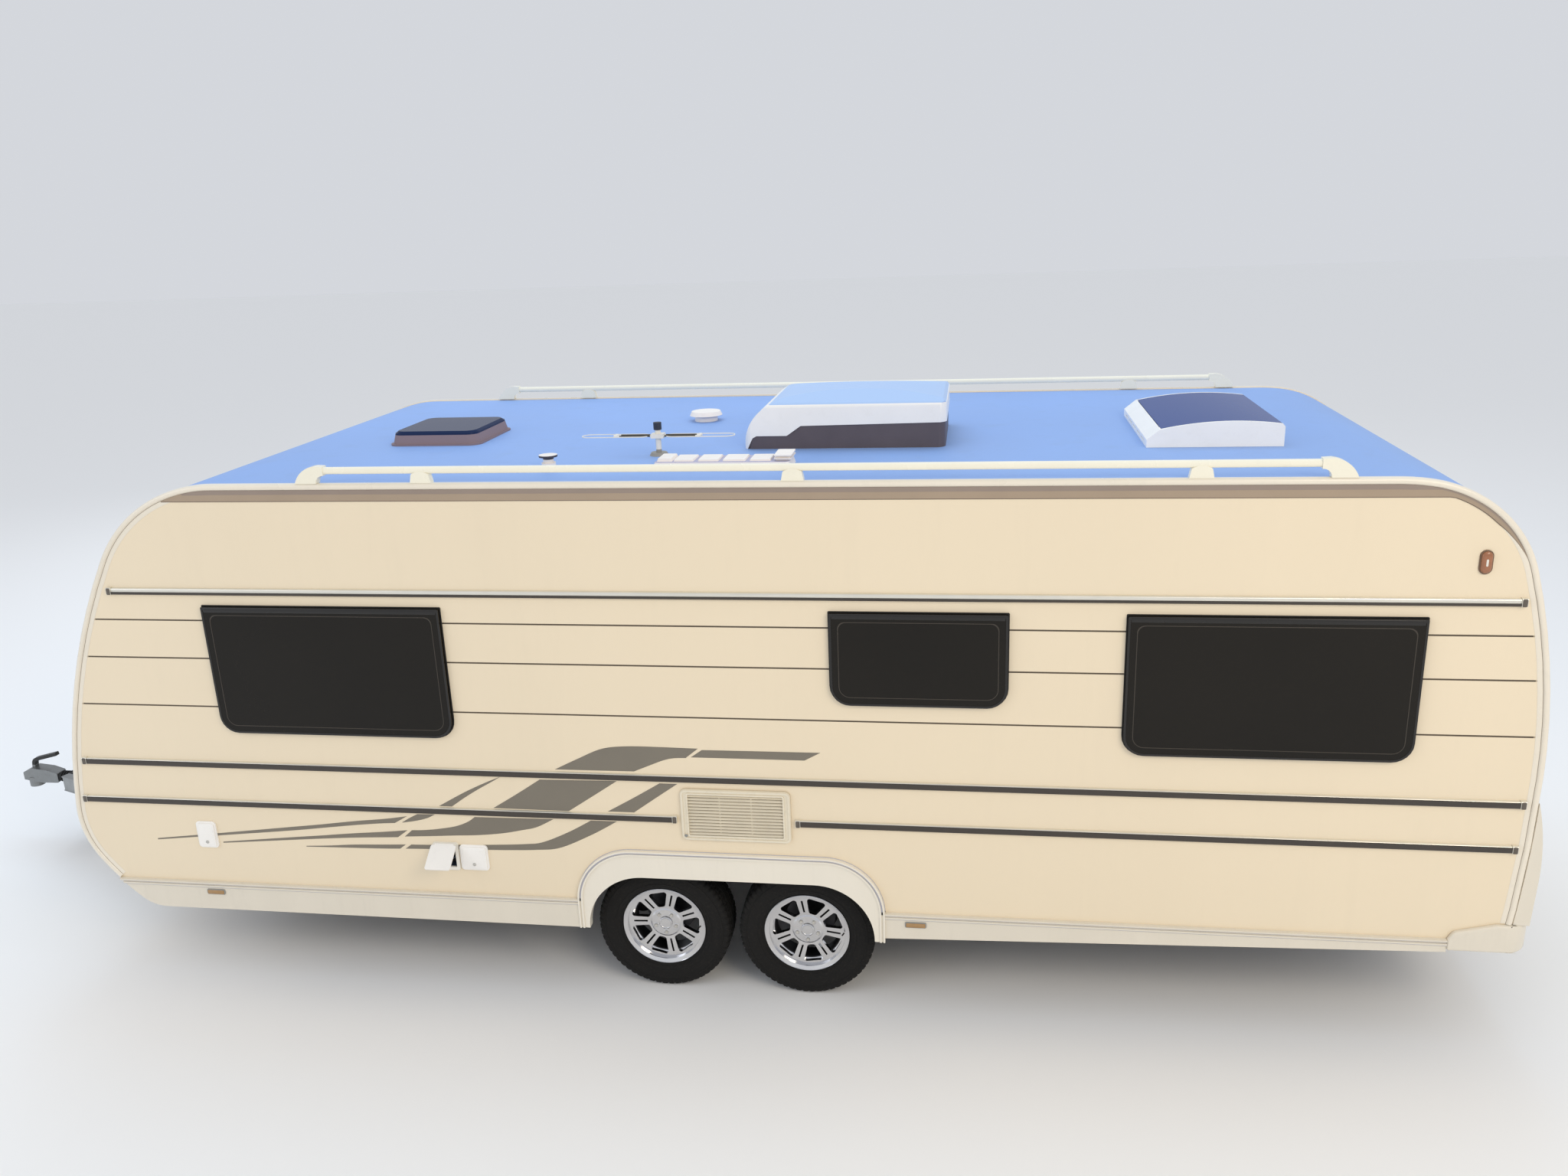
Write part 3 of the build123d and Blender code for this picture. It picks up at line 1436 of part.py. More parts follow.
tyres = {}
rims = {}
for wheel_name, x, side in wheel_names:
    number = axle_places.index(x)
    with BuildPart() as tyre:
        spin(tyre_section(), side, x)
    tyres[wheel_name] = tyre.part
    with BuildPart() as disc:
        section = disc_section()
        spin(section if side > 0 else section.mirror(Plane.XZ), side, x)
        face = Plane(origin=(x, side * (wheel_mid + hub_face), tyre_radius), x_dir=(1, 0, 0), z_dir=(0, side, 0))
        with BuildSketch(face.offset(-spoke_thickness - 1)):
            for index in range(pair_count):
                turn = pair_turn[number] + 360 / pair_count * index
                with Locations(Location((0, 0, 0), (0, 0, turn))):
                    with Locations((124, 0)):
                        Rectangle(66, slit_width)
                add(rim_window().rotate(Axis.Z, turn + 180 / pair_count))
        extrude(amount=spoke_thickness + 12, mode=Mode.SUBTRACT)
    with BuildPart() as rim:
        section = rim_section()
        spin(section if side > 0 else section.mirror(Plane.XZ), side, x)
        add(disc.part)
        drum = Plane(origin=(x, side * drum_start, tyre_radius), x_dir=(1, 0, 0), z_dir=(0, side, 0))
        with BuildSketch(drum):
            Circle(drum_radius)
            Circle(drum_radius - 12, mode=Mode.SUBTRACT)
        extrude(amount=52)
        with BuildSketch(drum.offset(40)):
            Circle(drum_radius)
        extrude(amount=12)
        hub_length = wheel_mid + hub_face - spoke_thickness - drum_start
        with BuildSketch(drum.offset(10)):
            Circle(44)
        extrude(amount=hub_length - 10)
        with BuildSketch(drum):
            Circle(spindle_radius + pin_fit)
        extrude(amount=spindle_end - drum_start + 3, mode=Mode.SUBTRACT)
    rims[wheel_name] = rim.part

# Coupling head on its overrun shaft, with the handbrake lever
ball_bore = 25.3
ball_x = coupling_x + 52
with BuildPart() as coupling_head:
    with BuildSketch(Plane.XZ.offset(38)):
        with BuildLine():
            FilletPolyline(
                (coupling_x, coupling_height - 14),
                (coupling_x, coupling_height + 34),
                (coupling_x + 60, coupling_height + 62),
                (coupling_x + 160, coupling_height + 52),
                (coupling_x + 230, coupling_height + 30),
                (coupling_x + 230, coupling_height - 30),
                (coupling_x + 110, coupling_height - 32),
                radius=9,
            )
            Line((coupling_x + 110, coupling_height - 32), (coupling_x, coupling_height - 14))
        make_face()
    extrude(amount=-76)
    with BuildSketch(Plane.XY.offset(coupling_height - 60)):
        with Locations((ball_x, 0)):
            Circle(42)
    extrude(amount=60)
    with Locations((ball_x, 0, coupling_height)):
        Sphere(ball_bore, mode=Mode.SUBTRACT)
    with BuildSketch(Plane.XY.offset(coupling_height - 70)):
        with Locations((ball_x, 0)):
            Circle(ball_bore)
    extrude(amount=70, mode=Mode.SUBTRACT)
    # Handle over the head
    with BuildSketch(Plane.XZ.offset(16)):
        with BuildLine():
            FilletPolyline(
                (coupling_x + 60, coupling_height + 50),
                (coupling_x + 70, coupling_height + 108),
                (coupling_x + 230, coupling_height + 150),
                radius=30,
            )
        trace(line_width=20)
    extrude(amount=-32)
    # Overrun shaft, bellows and body
    with BuildSketch(Plane.YZ.offset(coupling_x + 225)):
        with Locations((0, coupling_height)):
            Circle(25)
    extrude(amount=130)
    for step in range(5):
        with BuildSketch(Plane.YZ.offset(coupling_x + 240 + 16 * step)):
            with Locations((0, coupling_height)):
                Circle(34)
        extrude(amount=10)
    body_top = floor_bottom - beam_web
    with Locations((drawbar_tip_x + 190, 0, body_top - 35)):
        Box(400, 68, 70)
    # Handbrake lever
    with BuildSketch(Plane.XZ.offset(26)):
        with BuildLine():
            Polyline(
                (drawbar_tip_x + 60, coupling_height + 20),
                (drawbar_tip_x + 90, floor_bottom + 50),
                (drawbar_tip_x + 380, floor_bottom + 105),
            )
        trace(line_width=22)
    extrude(amount=-16)

# Cover of the drawbar, an inverted tray of thin plastic
cover_front = drawbar_tip_x + 130
cover_top = 512
cover_sheet = 4
cover_rear = front_skin(nose_height + 80) + 130
cover_front_y = leg_line(cover_front, beam_flange / 2 + 6.5)
cover_rear_y = leg_line(cover_rear, beam_flange / 2 + 6.5)


def cover_plan(inset=0.0):
    """Plan of the drawbar cover, wider towards the body."""
    with BuildSketch() as face:
        with BuildLine():
            Polyline(
                (cover_front, -cover_front_y),
                (cover_rear, -cover_rear_y),
                (cover_rear, cover_rear_y),
                (cover_front, cover_front_y),
                close=True,
            )
        make_face()
        fillet(face.vertices().group_by(Axis.X)[0], radius=40)
        if inset:
            offset(amount=-inset)
    return face.sketch


with BuildPart() as drawbar_cover:
    with BuildSketch(Plane.XY.offset(floor_bottom - 50)):
        add(cover_plan())
    extrude(amount=cover_top - floor_bottom + 50)
    chamfer(faces().sort_by(Axis.Z)[-1].edges(), length=12)
    with BuildSketch(Plane.XY.offset(floor_bottom - 50)):
        add(cover_plan(cover_sheet))
    extrude(amount=cover_top - floor_bottom + 50 - 14, mode=Mode.SUBTRACT)
    with BuildSketch(Plane.XY.offset(floor_bottom - 50)):
        add(cover_plan(cover_sheet + 14))
    extrude(amount=cover_top - floor_bottom + 50 - cover_sheet, mode=Mode.SUBTRACT)
    # Rib that rests on the legs
    with BuildSketch(Plane.XY.offset(floor_bottom + 0.3)):
        add(cover_plan(44))
        add(cover_plan(48), mode=Mode.SUBTRACT)
    extrude(amount=cover_top - cover_sheet - floor_bottom)
    with Locations((cover_front + 20, 0, floor_bottom - 50)):
        Box(70, 2 * cover_rear_y, 108, mode=Mode.SUBTRACT)
    with Locations((cover_rear, 0, floor_bottom - 50)):
        Box(40, 2 * (cover_rear_y - cover_sheet - 1), 2 * (cover_top - floor_bottom + 30), mode=Mode.SUBTRACT)

# Jockey wheel: sliding tube, swivelling fork and wheel
crank_height = beam_bottom + sleeve_length + 12
with BuildPart() as jockey_tube:
    with BuildSketch(Plane.XY.offset(242)):
        with Locations((jockey_x, jockey_y)):
            Circle(inner_tube)
    extrude(amount=crank_height - 242)
    # Crank on the top end
    with BuildSketch(Plane.XY.offset(crank_height)):
        with Locations((jockey_x, jockey_y)):
            Circle(14)
        with Locations((jockey_x + 40, jockey_y)):
            Rectangle(96, 20)
    extrude(amount=8)
    with BuildSketch(Plane.XY.offset(crank_height + 8)):
        with Locations((jockey_x + 78, jockey_y)):
            Circle(10)
    extrude(amount=60)
    with BuildSketch(Plane.XY.offset(242 - 30)):
        with Locations((jockey_x, jockey_y)):
            Circle(10)
    extrude(amount=31)

with BuildPart() as jockey_fork:
    with BuildSketch(Plane.XY.offset(216)):
        with Locations((jockey_x, jockey_y)):
            Circle(26)
    extrude(amount=25.7)
    with BuildSketch(Plane.XZ.offset(-jockey_y + 38)):
        with BuildLine():
            Polyline(
                (jockey_x - 26, 222),
                (jockey_x + 30, 222),
                (jockey_x + jockey_trail + 22, jockey_radius),
                (jockey_x + jockey_trail, jockey_radius - 22),
                (jockey_x + jockey_trail - 22, jockey_radius),
                close=True,
            )
        make_face()
    extrude(amount=-76)
    with Locations((jockey_x + 20, jockey_y, jockey_radius)):
        Box(300, 64, 226, mode=Mode.SUBTRACT)
    with BuildSketch(Plane.XY.offset(206)):
        with Locations((jockey_x, jockey_y)):
            Circle(10 + pin_fit)
    extrude(amount=40, mode=Mode.SUBTRACT)
    with BuildSketch(Plane.XZ.offset(-jockey_y + 38)):
        with Locations((jockey_x + jockey_trail, jockey_radius)):
            Circle(8)
    extrude(amount=-76)

with BuildPart() as jockey_wheel:
    with BuildSketch(Plane.XZ.offset(-jockey_y + 28)):
        with Locations((jockey_x + jockey_trail, jockey_radius)):
            Circle(jockey_radius)
            Circle(8 + pin_fit, mode=Mode.SUBTRACT)
    extrude(amount=-56)
    fillet(edges().filter_by(GeomType.CIRCLE).sort_by(SortBy.RADIUS)[-2:], radius=12)

# Corner steadies, folded up under the beams: hinge x, foot direction, side
steadies = {}
for name, x, outward, side in steady_places:
    y = side * beam_y
    with BuildPart() as steady:
        with BuildSketch(Plane.XZ.offset(-y + 26)):
            with BuildLine():
                Polyline((x, steady_z), (x + outward * steady_length, steady_z))
            trace(line_width=40)
            with Locations((x, steady_z)):
                Circle(20)
                Circle(9 + pin_fit, mode=Mode.SUBTRACT)
        extrude(amount=-52)
        with Locations((x + outward * (steady_length / 2 + 40), y, steady_z + 6)):
            Box(steady_length - 90, 44, 40, mode=Mode.SUBTRACT)
        with Locations((x + outward * steady_length, y, steady_z)):
            Box(16, 110, 44)
    steadies[name] = steady.part

plain_parts = {
    "wall_left": wall_left,
    "wall_right": wall_right,
    "entry_door": entry_door,
    "door_window": door_window,
    "cassette_hatch": cassette_hatch,
    "wall_front": wall_front,
    "gas_locker_lid": gas_locker_lid,
    "locker_boxes": locker_boxes,
    "wall_rear": wall_rear,
    "roof_panel": roof_panel,
    "floor_panel": floor_panel,
    "wheel_housings": wheel_housings,
    "edge_trims": edge_trims,
    "rear_bumper": rear_bumper,
    "skirts": skirts,
    "wheel_arch_spats": wheel_arch_spats,
    "windows": windows,
    "decor_rails": decor_rails,
    "fridge_grille": fridge_grille,
    "power_inlet": power_inlet,
    "inlet_lid": inlet_lid,
    "service_covers": service_covers,
    "roof_rails": roof_rails,
    "air_conditioner_base": air_conditioner_base,
    "air_conditioner_shell": air_conditioner_shell,
    "fridge_roof_vent": fridge_roof_vent,
    "roof_vents": roof_vents,
    "antenna": antenna,
    "rooflight_frame": rooflight_frame,
    "rooflight_domes": rooflight_domes,
    "lamp_carriers": lamp_carriers,
    "lamps": lamps,
    "chassis_beams": chassis_beams,
    "drawbar_legs": drawbar_legs,
    "cross_members": cross_members,
    "drawbar_fittings": drawbar_fittings,
    "axles": axles,
    "coupling_head": coupling_head,
    "drawbar_cover": drawbar_cover,
    "jockey_tube": jockey_tube,
    "jockey_fork": jockey_fork,
    "jockey_wheel": jockey_wheel,
}
for name, builder in plain_parts.items():
    builder.part.label = name
    export_step(builder.part, f"parts/{name}.step")
for family, solids in [("tyre", tyres), ("rim", rims), ("steady", steadies)]:
    for name, solid in solids.items():
        solid.label = f"{family}_{name}"
        export_step(solid, f"parts/{family}_{name}.step")
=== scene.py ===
"""Looks of the travel caravan: materials, decals, panes, wheels and roof fittings."""

import math

import bmesh
import bpy
from mathutils import Matrix, Vector


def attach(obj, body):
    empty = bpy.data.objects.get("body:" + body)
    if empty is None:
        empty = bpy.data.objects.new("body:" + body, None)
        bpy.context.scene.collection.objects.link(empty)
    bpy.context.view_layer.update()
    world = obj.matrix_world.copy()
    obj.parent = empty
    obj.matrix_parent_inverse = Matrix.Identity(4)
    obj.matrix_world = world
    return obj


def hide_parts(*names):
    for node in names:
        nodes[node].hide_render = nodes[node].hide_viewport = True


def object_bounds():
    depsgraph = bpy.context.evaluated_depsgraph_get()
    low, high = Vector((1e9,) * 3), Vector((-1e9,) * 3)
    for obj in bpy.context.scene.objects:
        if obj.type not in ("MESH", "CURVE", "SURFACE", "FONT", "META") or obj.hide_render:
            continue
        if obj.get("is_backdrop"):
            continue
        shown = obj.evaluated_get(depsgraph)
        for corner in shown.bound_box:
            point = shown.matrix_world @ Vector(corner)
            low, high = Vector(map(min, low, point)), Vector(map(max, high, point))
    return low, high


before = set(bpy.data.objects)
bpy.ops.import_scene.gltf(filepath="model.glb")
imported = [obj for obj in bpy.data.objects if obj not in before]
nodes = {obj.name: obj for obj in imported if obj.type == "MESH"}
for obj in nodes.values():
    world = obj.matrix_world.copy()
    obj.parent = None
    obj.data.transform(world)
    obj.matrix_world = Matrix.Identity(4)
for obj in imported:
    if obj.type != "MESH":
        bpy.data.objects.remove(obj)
cad_low, cad_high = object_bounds()
scene = bpy.context.scene
scene.view_settings.view_transform = "Standard"

# Half the width and the height of the body, and names that come again
HALF = 1.25
ROOF = 2.52
SIDES = ((-1, "left"), (1, "right"))
CORNERS = ["front_left", "front_right", "rear_left", "rear_right"]

# Camera fitted to the photo: turns in degrees, place in metres, focal length in pixels of the full picture
YAW, PITCH, ROLL = -9.101, 17.054, -2.285
CAMERA_PLACE = (1.71565, -6.19827, 3.60128)
FOCAL_PIXELS, PICTURE_WIDTH, SENSOR = 1613.08, 2048, 36.0


def make_camera():
    """Set up the photo's camera."""
    yaw, pitch, roll = math.radians(YAW), math.radians(PITCH), math.radians(ROLL)
    forward = Vector((math.sin(yaw) * math.cos(pitch), math.cos(yaw) * math.cos(pitch), -math.sin(pitch)))
    right = Vector((math.cos(yaw), -math.sin(yaw), 0.0))
    up = right.cross(forward)
    side = math.cos(roll) * right + math.sin(roll) * up
    top = -math.sin(roll) * right + math.cos(roll) * up
    data = bpy.data.cameras.new("camera")
    data.sensor_width = SENSOR
    data.lens = FOCAL_PIXELS / PICTURE_WIDTH * SENSOR
    data.clip_end = 200.0
    camera = bpy.data.objects.new("camera", data)
    rows = Matrix((side, top, -forward)).transposed()
    camera.matrix_world = Matrix.Translation(CAMERA_PLACE) @ rows.to_4x4()
    scene.collection.objects.link(camera)
    scene.camera = camera


make_camera()


# Materials
M = {}


def srgb(r, g, b):
    """A colour of 0 to 255 in the scene's linear light."""
    def lin(c):
        c /= 255.0
        return c / 12.92 if c <= 0.04045 else ((c + 0.055) / 1.055) ** 2.4

    return (lin(r), lin(g), lin(b), 1.0)


def adder(tree):
    """A short way to add a node with its values and with what is linked into it."""
    def add(kind, links=None, operation=None, **values):
        node = tree.nodes.new("ShaderNode" + kind)
        if operation:
            node.operation = operation
        for key, value in values.items():
            node.inputs[key.replace("_", " ")].default_value = value
        for key, output in (links or {}).items():
            tree.links.new(output, node.inputs[key])
        return node

    return add


def material(name, colour, rough, vary, scale, metal=0.0, bump=None, dirt=None, coat=0.0, streak=False,
        spec=0.5, rough_vary=0.08):
    """A surface with soft colour variation, fine bump and some grime, all from object coordinates."""
    mat = bpy.data.materials.new(name)
    mat.use_nodes = True
    tree = mat.node_tree
    add, link = adder(tree), tree.links.new
    shader = tree.nodes["Principled BSDF"]
    constants = {"Metallic": metal, "Coat Weight": coat, "Coat Roughness": 0.08, "Specular IOR Level": spec}
    for key, value in constants.items():
        shader.inputs[key].default_value = value
    coords = add("TexCoord").outputs["Object"]
    mapping = add("Mapping", {"Vector": coords})
    if streak:
        mapping.inputs["Scale"].default_value = (2.2, 2.2, 0.25)
    place = mapping.outputs["Vector"]
    noise = add("TexNoise", {"Vector": place}, Scale=scale, Detail=6.0).outputs["Fac"]
    ramp = add("ValToRGB", {"Fac": noise})
    for stop, position, tone in zip(ramp.color_ramp.elements, (0.3, 0.7), (1 - vary, 1.0)):
        stop.position = position
        stop.color = tuple(c * tone for c in srgb(*colour)[:3]) + (1.0,)
    out = ramp.outputs["Color"]
    if dirt:
        tint, amount = dirt
        spots = add("TexNoise", {"Vector": place}, Scale=scale * 4, Detail=9.0, Roughness=0.7).outputs["Fac"]
        level = add("MapRange", {"Value": spots}, From_Min=0.52, From_Max=0.78,
            To_Max=amount).outputs["Result"]
        mix = add("Mix")
        mix.data_type = "RGBA"
        mix.inputs["B"].default_value = srgb(*tint)
        link(level, mix.inputs["Factor"])
        link(out, mix.inputs["A"])
        out = mix.outputs["Result"]
    link(out, shader.inputs["Base Color"])
    shine = add("MapRange", {"Value": noise}, To_Min=max(0.02, rough - rough_vary), To_Max=rough + rough_vary)
    link(shine.outputs["Result"], shader.inputs["Roughness"])
    if bump:
        strength, bump_scale = bump
        fine = add("TexNoise", {"Vector": coords}, Scale=bump_scale, Detail=3.0).outputs["Fac"]
        bumped = add("Bump", {"Height": fine}, Strength=strength, Distance=0.002)
        link(bumped.outputs["Normal"], shader.inputs["Normal"])
    M[name] = mat


def zones(name, table):
    """Give places of a surface their own look; limits hold X, the distance from the middle and Z."""
    tree = M[name].node_tree
    add, link = adder(tree), tree.links.new
    shader = tree.nodes["Principled BSDF"]
    split = add("SeparateXYZ", {0: add("TexCoord").outputs["Object"]}).outputs
    reach = add("Math", {0: split["Y"]}, "ABSOLUTE").outputs[0]
    ports = {"x": split["X"], "y": reach, "z": split["Z"]}
    for limits, colour, metal, rough in table:
        inside = None
        for key, (low, high) in limits.items():
            for kind, value in (("GREATER_THAN", low), ("LESS_THAN", high)):
                if value is None:
                    continue
                test = add("Math", {0: ports[key]}, kind)
                test.inputs[1].default_value = value
                if inside is None:
                    inside = test.outputs[0]
                else:
                    inside = add("Math", {0: inside, 1: test.outputs[0]}, "MULTIPLY").outputs[0]
        for socket_name, value in (("Base Color", srgb(*colour)), ("Metallic", metal), ("Roughness", rough)):
            socket = shader.inputs[socket_name]
            mix = add("Mix")
            mix.data_type = "RGBA" if socket_name == "Base Color" else "FLOAT"
            link(inside, mix.inputs["Factor"])
            if socket.links:
                link(socket.links[0].from_socket, mix.inputs["A"])
            else:
                mix.inputs["A"].default_value = socket.default_value
            mix.inputs["B"].default_value = value
            link(mix.outputs["Result"], socket)


GRIME = (128, 120, 104)
SOOT = (96, 88, 74)
# Name, colour, roughness, share of variation and its scale, then what else the surface has
material("body", (236, 219, 190), 0.38, 0.025, 0.8, bump=(0.06, 160), dirt=(GRIME, 0.035), coat=0.1,
    streak=True)
material("front", (234, 221, 197), 0.32, 0.025, 1.2, dirt=(GRIME, 0.04), coat=0.2, streak=True)
# The roof's blue is painted reflection of the sky; the sheet itself is white.
material("roof", (140, 172, 224), 0.55, 0.05, 1.6, bump=(0.3, 220), dirt=((128, 138, 152), 0.16))
material("trim", (236, 226, 208), 0.3, 0.04, 5, dirt=(GRIME, 0.08), coat=0.2)
material("skirt", (226, 217, 200), 0.36, 0.04, 2.5, bump=(0.08, 200), dirt=(SOOT, 0.06), streak=True)
material("spat", (236, 228, 212), 0.32, 0.03, 3.0, bump=(0.05, 240), dirt=(SOOT, 0.05), coat=0.25,
    streak=True)
material("band", (168, 148, 126), 0.42, 0.06, 5)
material("band_upper", (150, 134, 122), 0.42, 0.06, 5)
material("ridge_shade", (184, 184, 196), 0.5, 0.08, 12)
material("band_line", (112, 96, 82), 0.45, 0.08, 9)
# Dark inside of the pressed lines: painted shade in the grooves.
material("groove", (104, 92, 76), 0.6, 0.14, 12)
material("joint", (160, 146, 128), 0.6, 0.15, 16)
material("decal_grey", (124, 116, 102), 0.32, 0.07, 6, metal=0.15, coat=0.25)
material("rail", (232, 228, 216), 0.32, 0.06, 8, metal=0.7)
# Dark lower part of the rails: partly a dark insert, partly painted shade on the downward face.
material("rail_dark", (58, 50, 42), 0.34, 0.15, 10, coat=0.2)
material("cap", (96, 88, 78), 0.4, 0.12, 20)
material("roof_rail", (244, 238, 218), 0.26, 0.03, 6, dirt=(GRIME, 0.06), coat=0.3)
material("plastic_white", (248, 244, 238), 0.33, 0.035, 8, bump=(0.05, 300), dirt=(GRIME, 0.07))
material("vent_white", (248, 238, 228), 0.36, 0.04, 8, dirt=(GRIME, 0.08))
material("inlet", (238, 233, 222), 0.35, 0.04, 10, dirt=(GRIME, 0.08))
material("grille", (232, 221, 198), 0.4, 0.05, 9, dirt=(SOOT, 0.14))
material("plastic_dark", (92, 82, 86), 0.5, 0.12, 10, bump=(0.2, 400))
material("plastic_grey", (150, 150, 146), 0.45, 0.1, 10)
material("housing", (38, 37, 36), 0.8, 0.2, 10, bump=(0.3, 120), dirt=(SOOT, 0.5))
material("acrylic", (26, 22, 16), 0.1, 0.2, 2.0, spec=0.22, rough_vary=0.03)
material("dome", (40, 42, 50), 0.2, 0.12, 3.0, spec=0.04, rough_vary=0.04)
material("rubber", (30, 28, 26), 0.7, 0.2, 30)
material("tyre", (24, 23, 22), 0.85, 0.25, 24, bump=(0.2, 300), dirt=((76, 68, 56), 0.25), spec=0.3)
material("alloy", (216, 216, 218), 0.14, 0.06, 14, metal=1.0, rough_vary=0.05)
material("iron", (42, 41, 40), 0.6, 0.25, 12, metal=0.4, bump=(0.3, 120), dirt=((104, 70, 46), 0.3))
material("coupling", (150, 152, 152), 0.42, 0.18, 18, metal=0.9, bump=(0.2, 90), dirt=((100, 84, 66), 0.3))
material("zinc", (164, 166, 166), 0.42, 0.2, 18, metal=0.9, bump=(0.08, 60), dirt=((112, 100, 84), 0.3))
material("board", (70, 58, 46), 0.75, 0.25, 9, bump=(0.25, 60))
material("red", (146, 20, 16), 0.14, 0.15, 40, coat=0.6)
material("amber", (196, 112, 34), 0.16, 0.15, 40, coat=0.6)
material("rose", (160, 102, 66), 0.16, 0.15, 40, coat=0.6)
material("marker_base", (112, 84, 62), 0.4, 0.1, 30)
material("marker", (170, 132, 84), 0.18, 0.12, 40, coat=0.5)
# Pale dot on the upper marker's lens: a painted highlight.
material("clear", (232, 226, 214), 0.12, 0.1, 40, coat=0.6)
# Lighter ring inside each pane: the inner frame, drawn lighter as a painted highlight.
material("pane_frame_highlight", (58, 50, 40), 0.25, 0.2, 12)
material("pane_lip", (24, 21, 18), 0.3, 0.2, 12)
material("antenna", (238, 232, 220), 0.35, 0.06, 20)
material("lock", (206, 203, 196), 0.35, 0.1, 40, metal=0.5)
# Zones: limits, colour, metal and roughness
DARK, BLACK = (46, 45, 46), (20, 20, 20)
# Painted reflections on the rooflight domes: navy and blue from the sky on the tops, and a mauve lower part
# on the front dome.
zones("dome", [
    ({"x": (None, 0.0)}, (36, 48, 78), 0.0, 0.2),
    ({"x": (0.0, None)}, (40, 70, 132), 0.0, 0.2),
    ({"x": (None, 0.0), "z": (None, 2.572)}, (140, 122, 126), 0.0, 0.4),
])
zones("alloy", [({"y": (None, 1.104), "z": (None, 0.6)}, (70, 70, 72), 0.9, 0.4)])
# Painted shade on the fridge grille: the inner half of each slat is darker, and darkest behind the slats.
zones("grille", [({"y": (None, 1.2532)}, (176, 158, 130), 0.0, 0.5),
        ({"y": (None, 1.25)}, (96, 84, 66), 0.0, 0.6)])
zones("antenna", [
    ({"z": (2.6395, None)}, (40, 44, 58), 0.0, 0.5),
    ({"z": (None, 2.548)}, (150, 146, 138), 0.0, 0.5),
    ({"x": (0.29, 0.438), "y": (0.6, 0.65), "z": (2.6, 2.62)}, (84, 76, 62), 0.3, 0.4),
    ({"x": (0.074, 0.222), "y": (0.6, 0.65), "z": (2.6, 2.62)}, (84, 76, 62), 0.3, 0.4),
])
# Painted sky reflection: the air conditioner's top above Z 2.727 is pale blue instead of white.
zones("plastic_white", [({"z": (2.727, None)}, (170, 196, 232), 0.0, 0.4)])
zones("vent_white", [
    ({"x": (-0.25, -0.1), "z": (2.566, 2.5848)}, (66, 62, 70), 0.0, 0.5),
    # Painted sky reflection: a bluish strip on the fridge vent hood's top, between its pads.
    ({"x": (0.25, 1.0), "z": (2.5492, 2.5508)}, (176, 172, 196), 0.0, 0.4),
])
zones("inlet", [({"y": (None, 1.249)}, (52, 60, 74), 0.0, 0.4), ({"y": (None, 1.2)}, (120, 118, 110), 0.8,
        0.3)])
zones("coupling", [
    ({"x": (-3.826, -3.744)}, BLACK, 0.0, 0.75),
    ({"x": (-3.744, None)}, DARK, 0.2, 0.6),
    ({"x": (-4.06, -3.8), "z": (0.506, None)}, (34, 34, 34), 0.0, 0.45),
    ({"x": (-3.48, None), "z": (0.512, None)}, BLACK, 0.0, 0.6),
])
zones("front", [({"x": (None, -2.6688), "y": (0.3, 0.45), "z": (0.8, 0.95)}, DARK, 0.0, 0.45)])

NODE_MATERIAL = {
    "body": ["wall_left", "wall_right", "entry_door", "cassette_hatch"],
    "front": ["wall_front", "wall_rear", "gas_locker_lid", "drawbar_cover"],
    "roof": ["roof_panel"],
    "trim": ["edge_trims"],
    "skirt": ["skirts", "rear_bumper", "lamp_carriers"],
    "spat": ["wheel_arch_spats"],
    "rail": ["decor_rails"],
    "roof_rail": ["roof_rails"],
    "plastic_white": ["air_conditioner_shell", "rooflight_frame", "inlet_lid", "service_covers"],
    "vent_white": ["fridge_roof_vent", "roof_vents"],
    "grille": ["fridge_grille"],
    "inlet": ["power_inlet"],
    "plastic_dark": ["air_conditioner_base"],
    "housing": ["wheel_housings"],
    "antenna": ["antenna"],
    "acrylic": ["windows", "door_window"],
    "dome": ["rooflight_domes"],
    "board": ["floor_panel", "locker_boxes"],
    "zinc": ["chassis_beams", "drawbar_legs", "cross_members", "drawbar_fittings", "jockey_tube",
        "jockey_fork"] + [f"steady_{corner}" for corner in CORNERS],
    "iron": ["axles"],
    "coupling": ["coupling_head"],
    "tyre": ["jockey_wheel"] + [f"tyre_{corner}" for corner in CORNERS],
    "alloy": [f"rim_{corner}" for corner in CORNERS],
    "red": ["lamps"],
}
for key, names in NODE_MATERIAL.items():
    for name in names:
        mesh = nodes[name].data
        mesh.materials.clear()
        mesh.materials.append(M[key])


# Mesh makers


def bevel_edges(obj, width, segments, angle):
    """Round the edges that are sharper than an angle."""
    mod = obj.modifiers.new("bevel", "BEVEL")
    mod.width = width
    mod.segments = segments
    mod.limit_method = "ANGLE"
    mod.angle_limit = math.radians(angle)


# Widths of the rounded edges of moulded pieces
ROUNDED = {"rear_bumper": 0.014, "air_conditioner_shell": 0.01, "rooflight_frame": 0.006,
    "lamp_carriers": 0.01, "roof_rails": 0.003, "fridge_roof_vent": 0.0025, "inlet_lid": 0.002,
    "drawbar_cover": 0.003}
for name, width in ROUNDED.items():
    nodes[name].modifiers.new("weld", "WELD").merge_threshold = 1e-5
    bevel_edges(nodes[name], width, 3, 38)


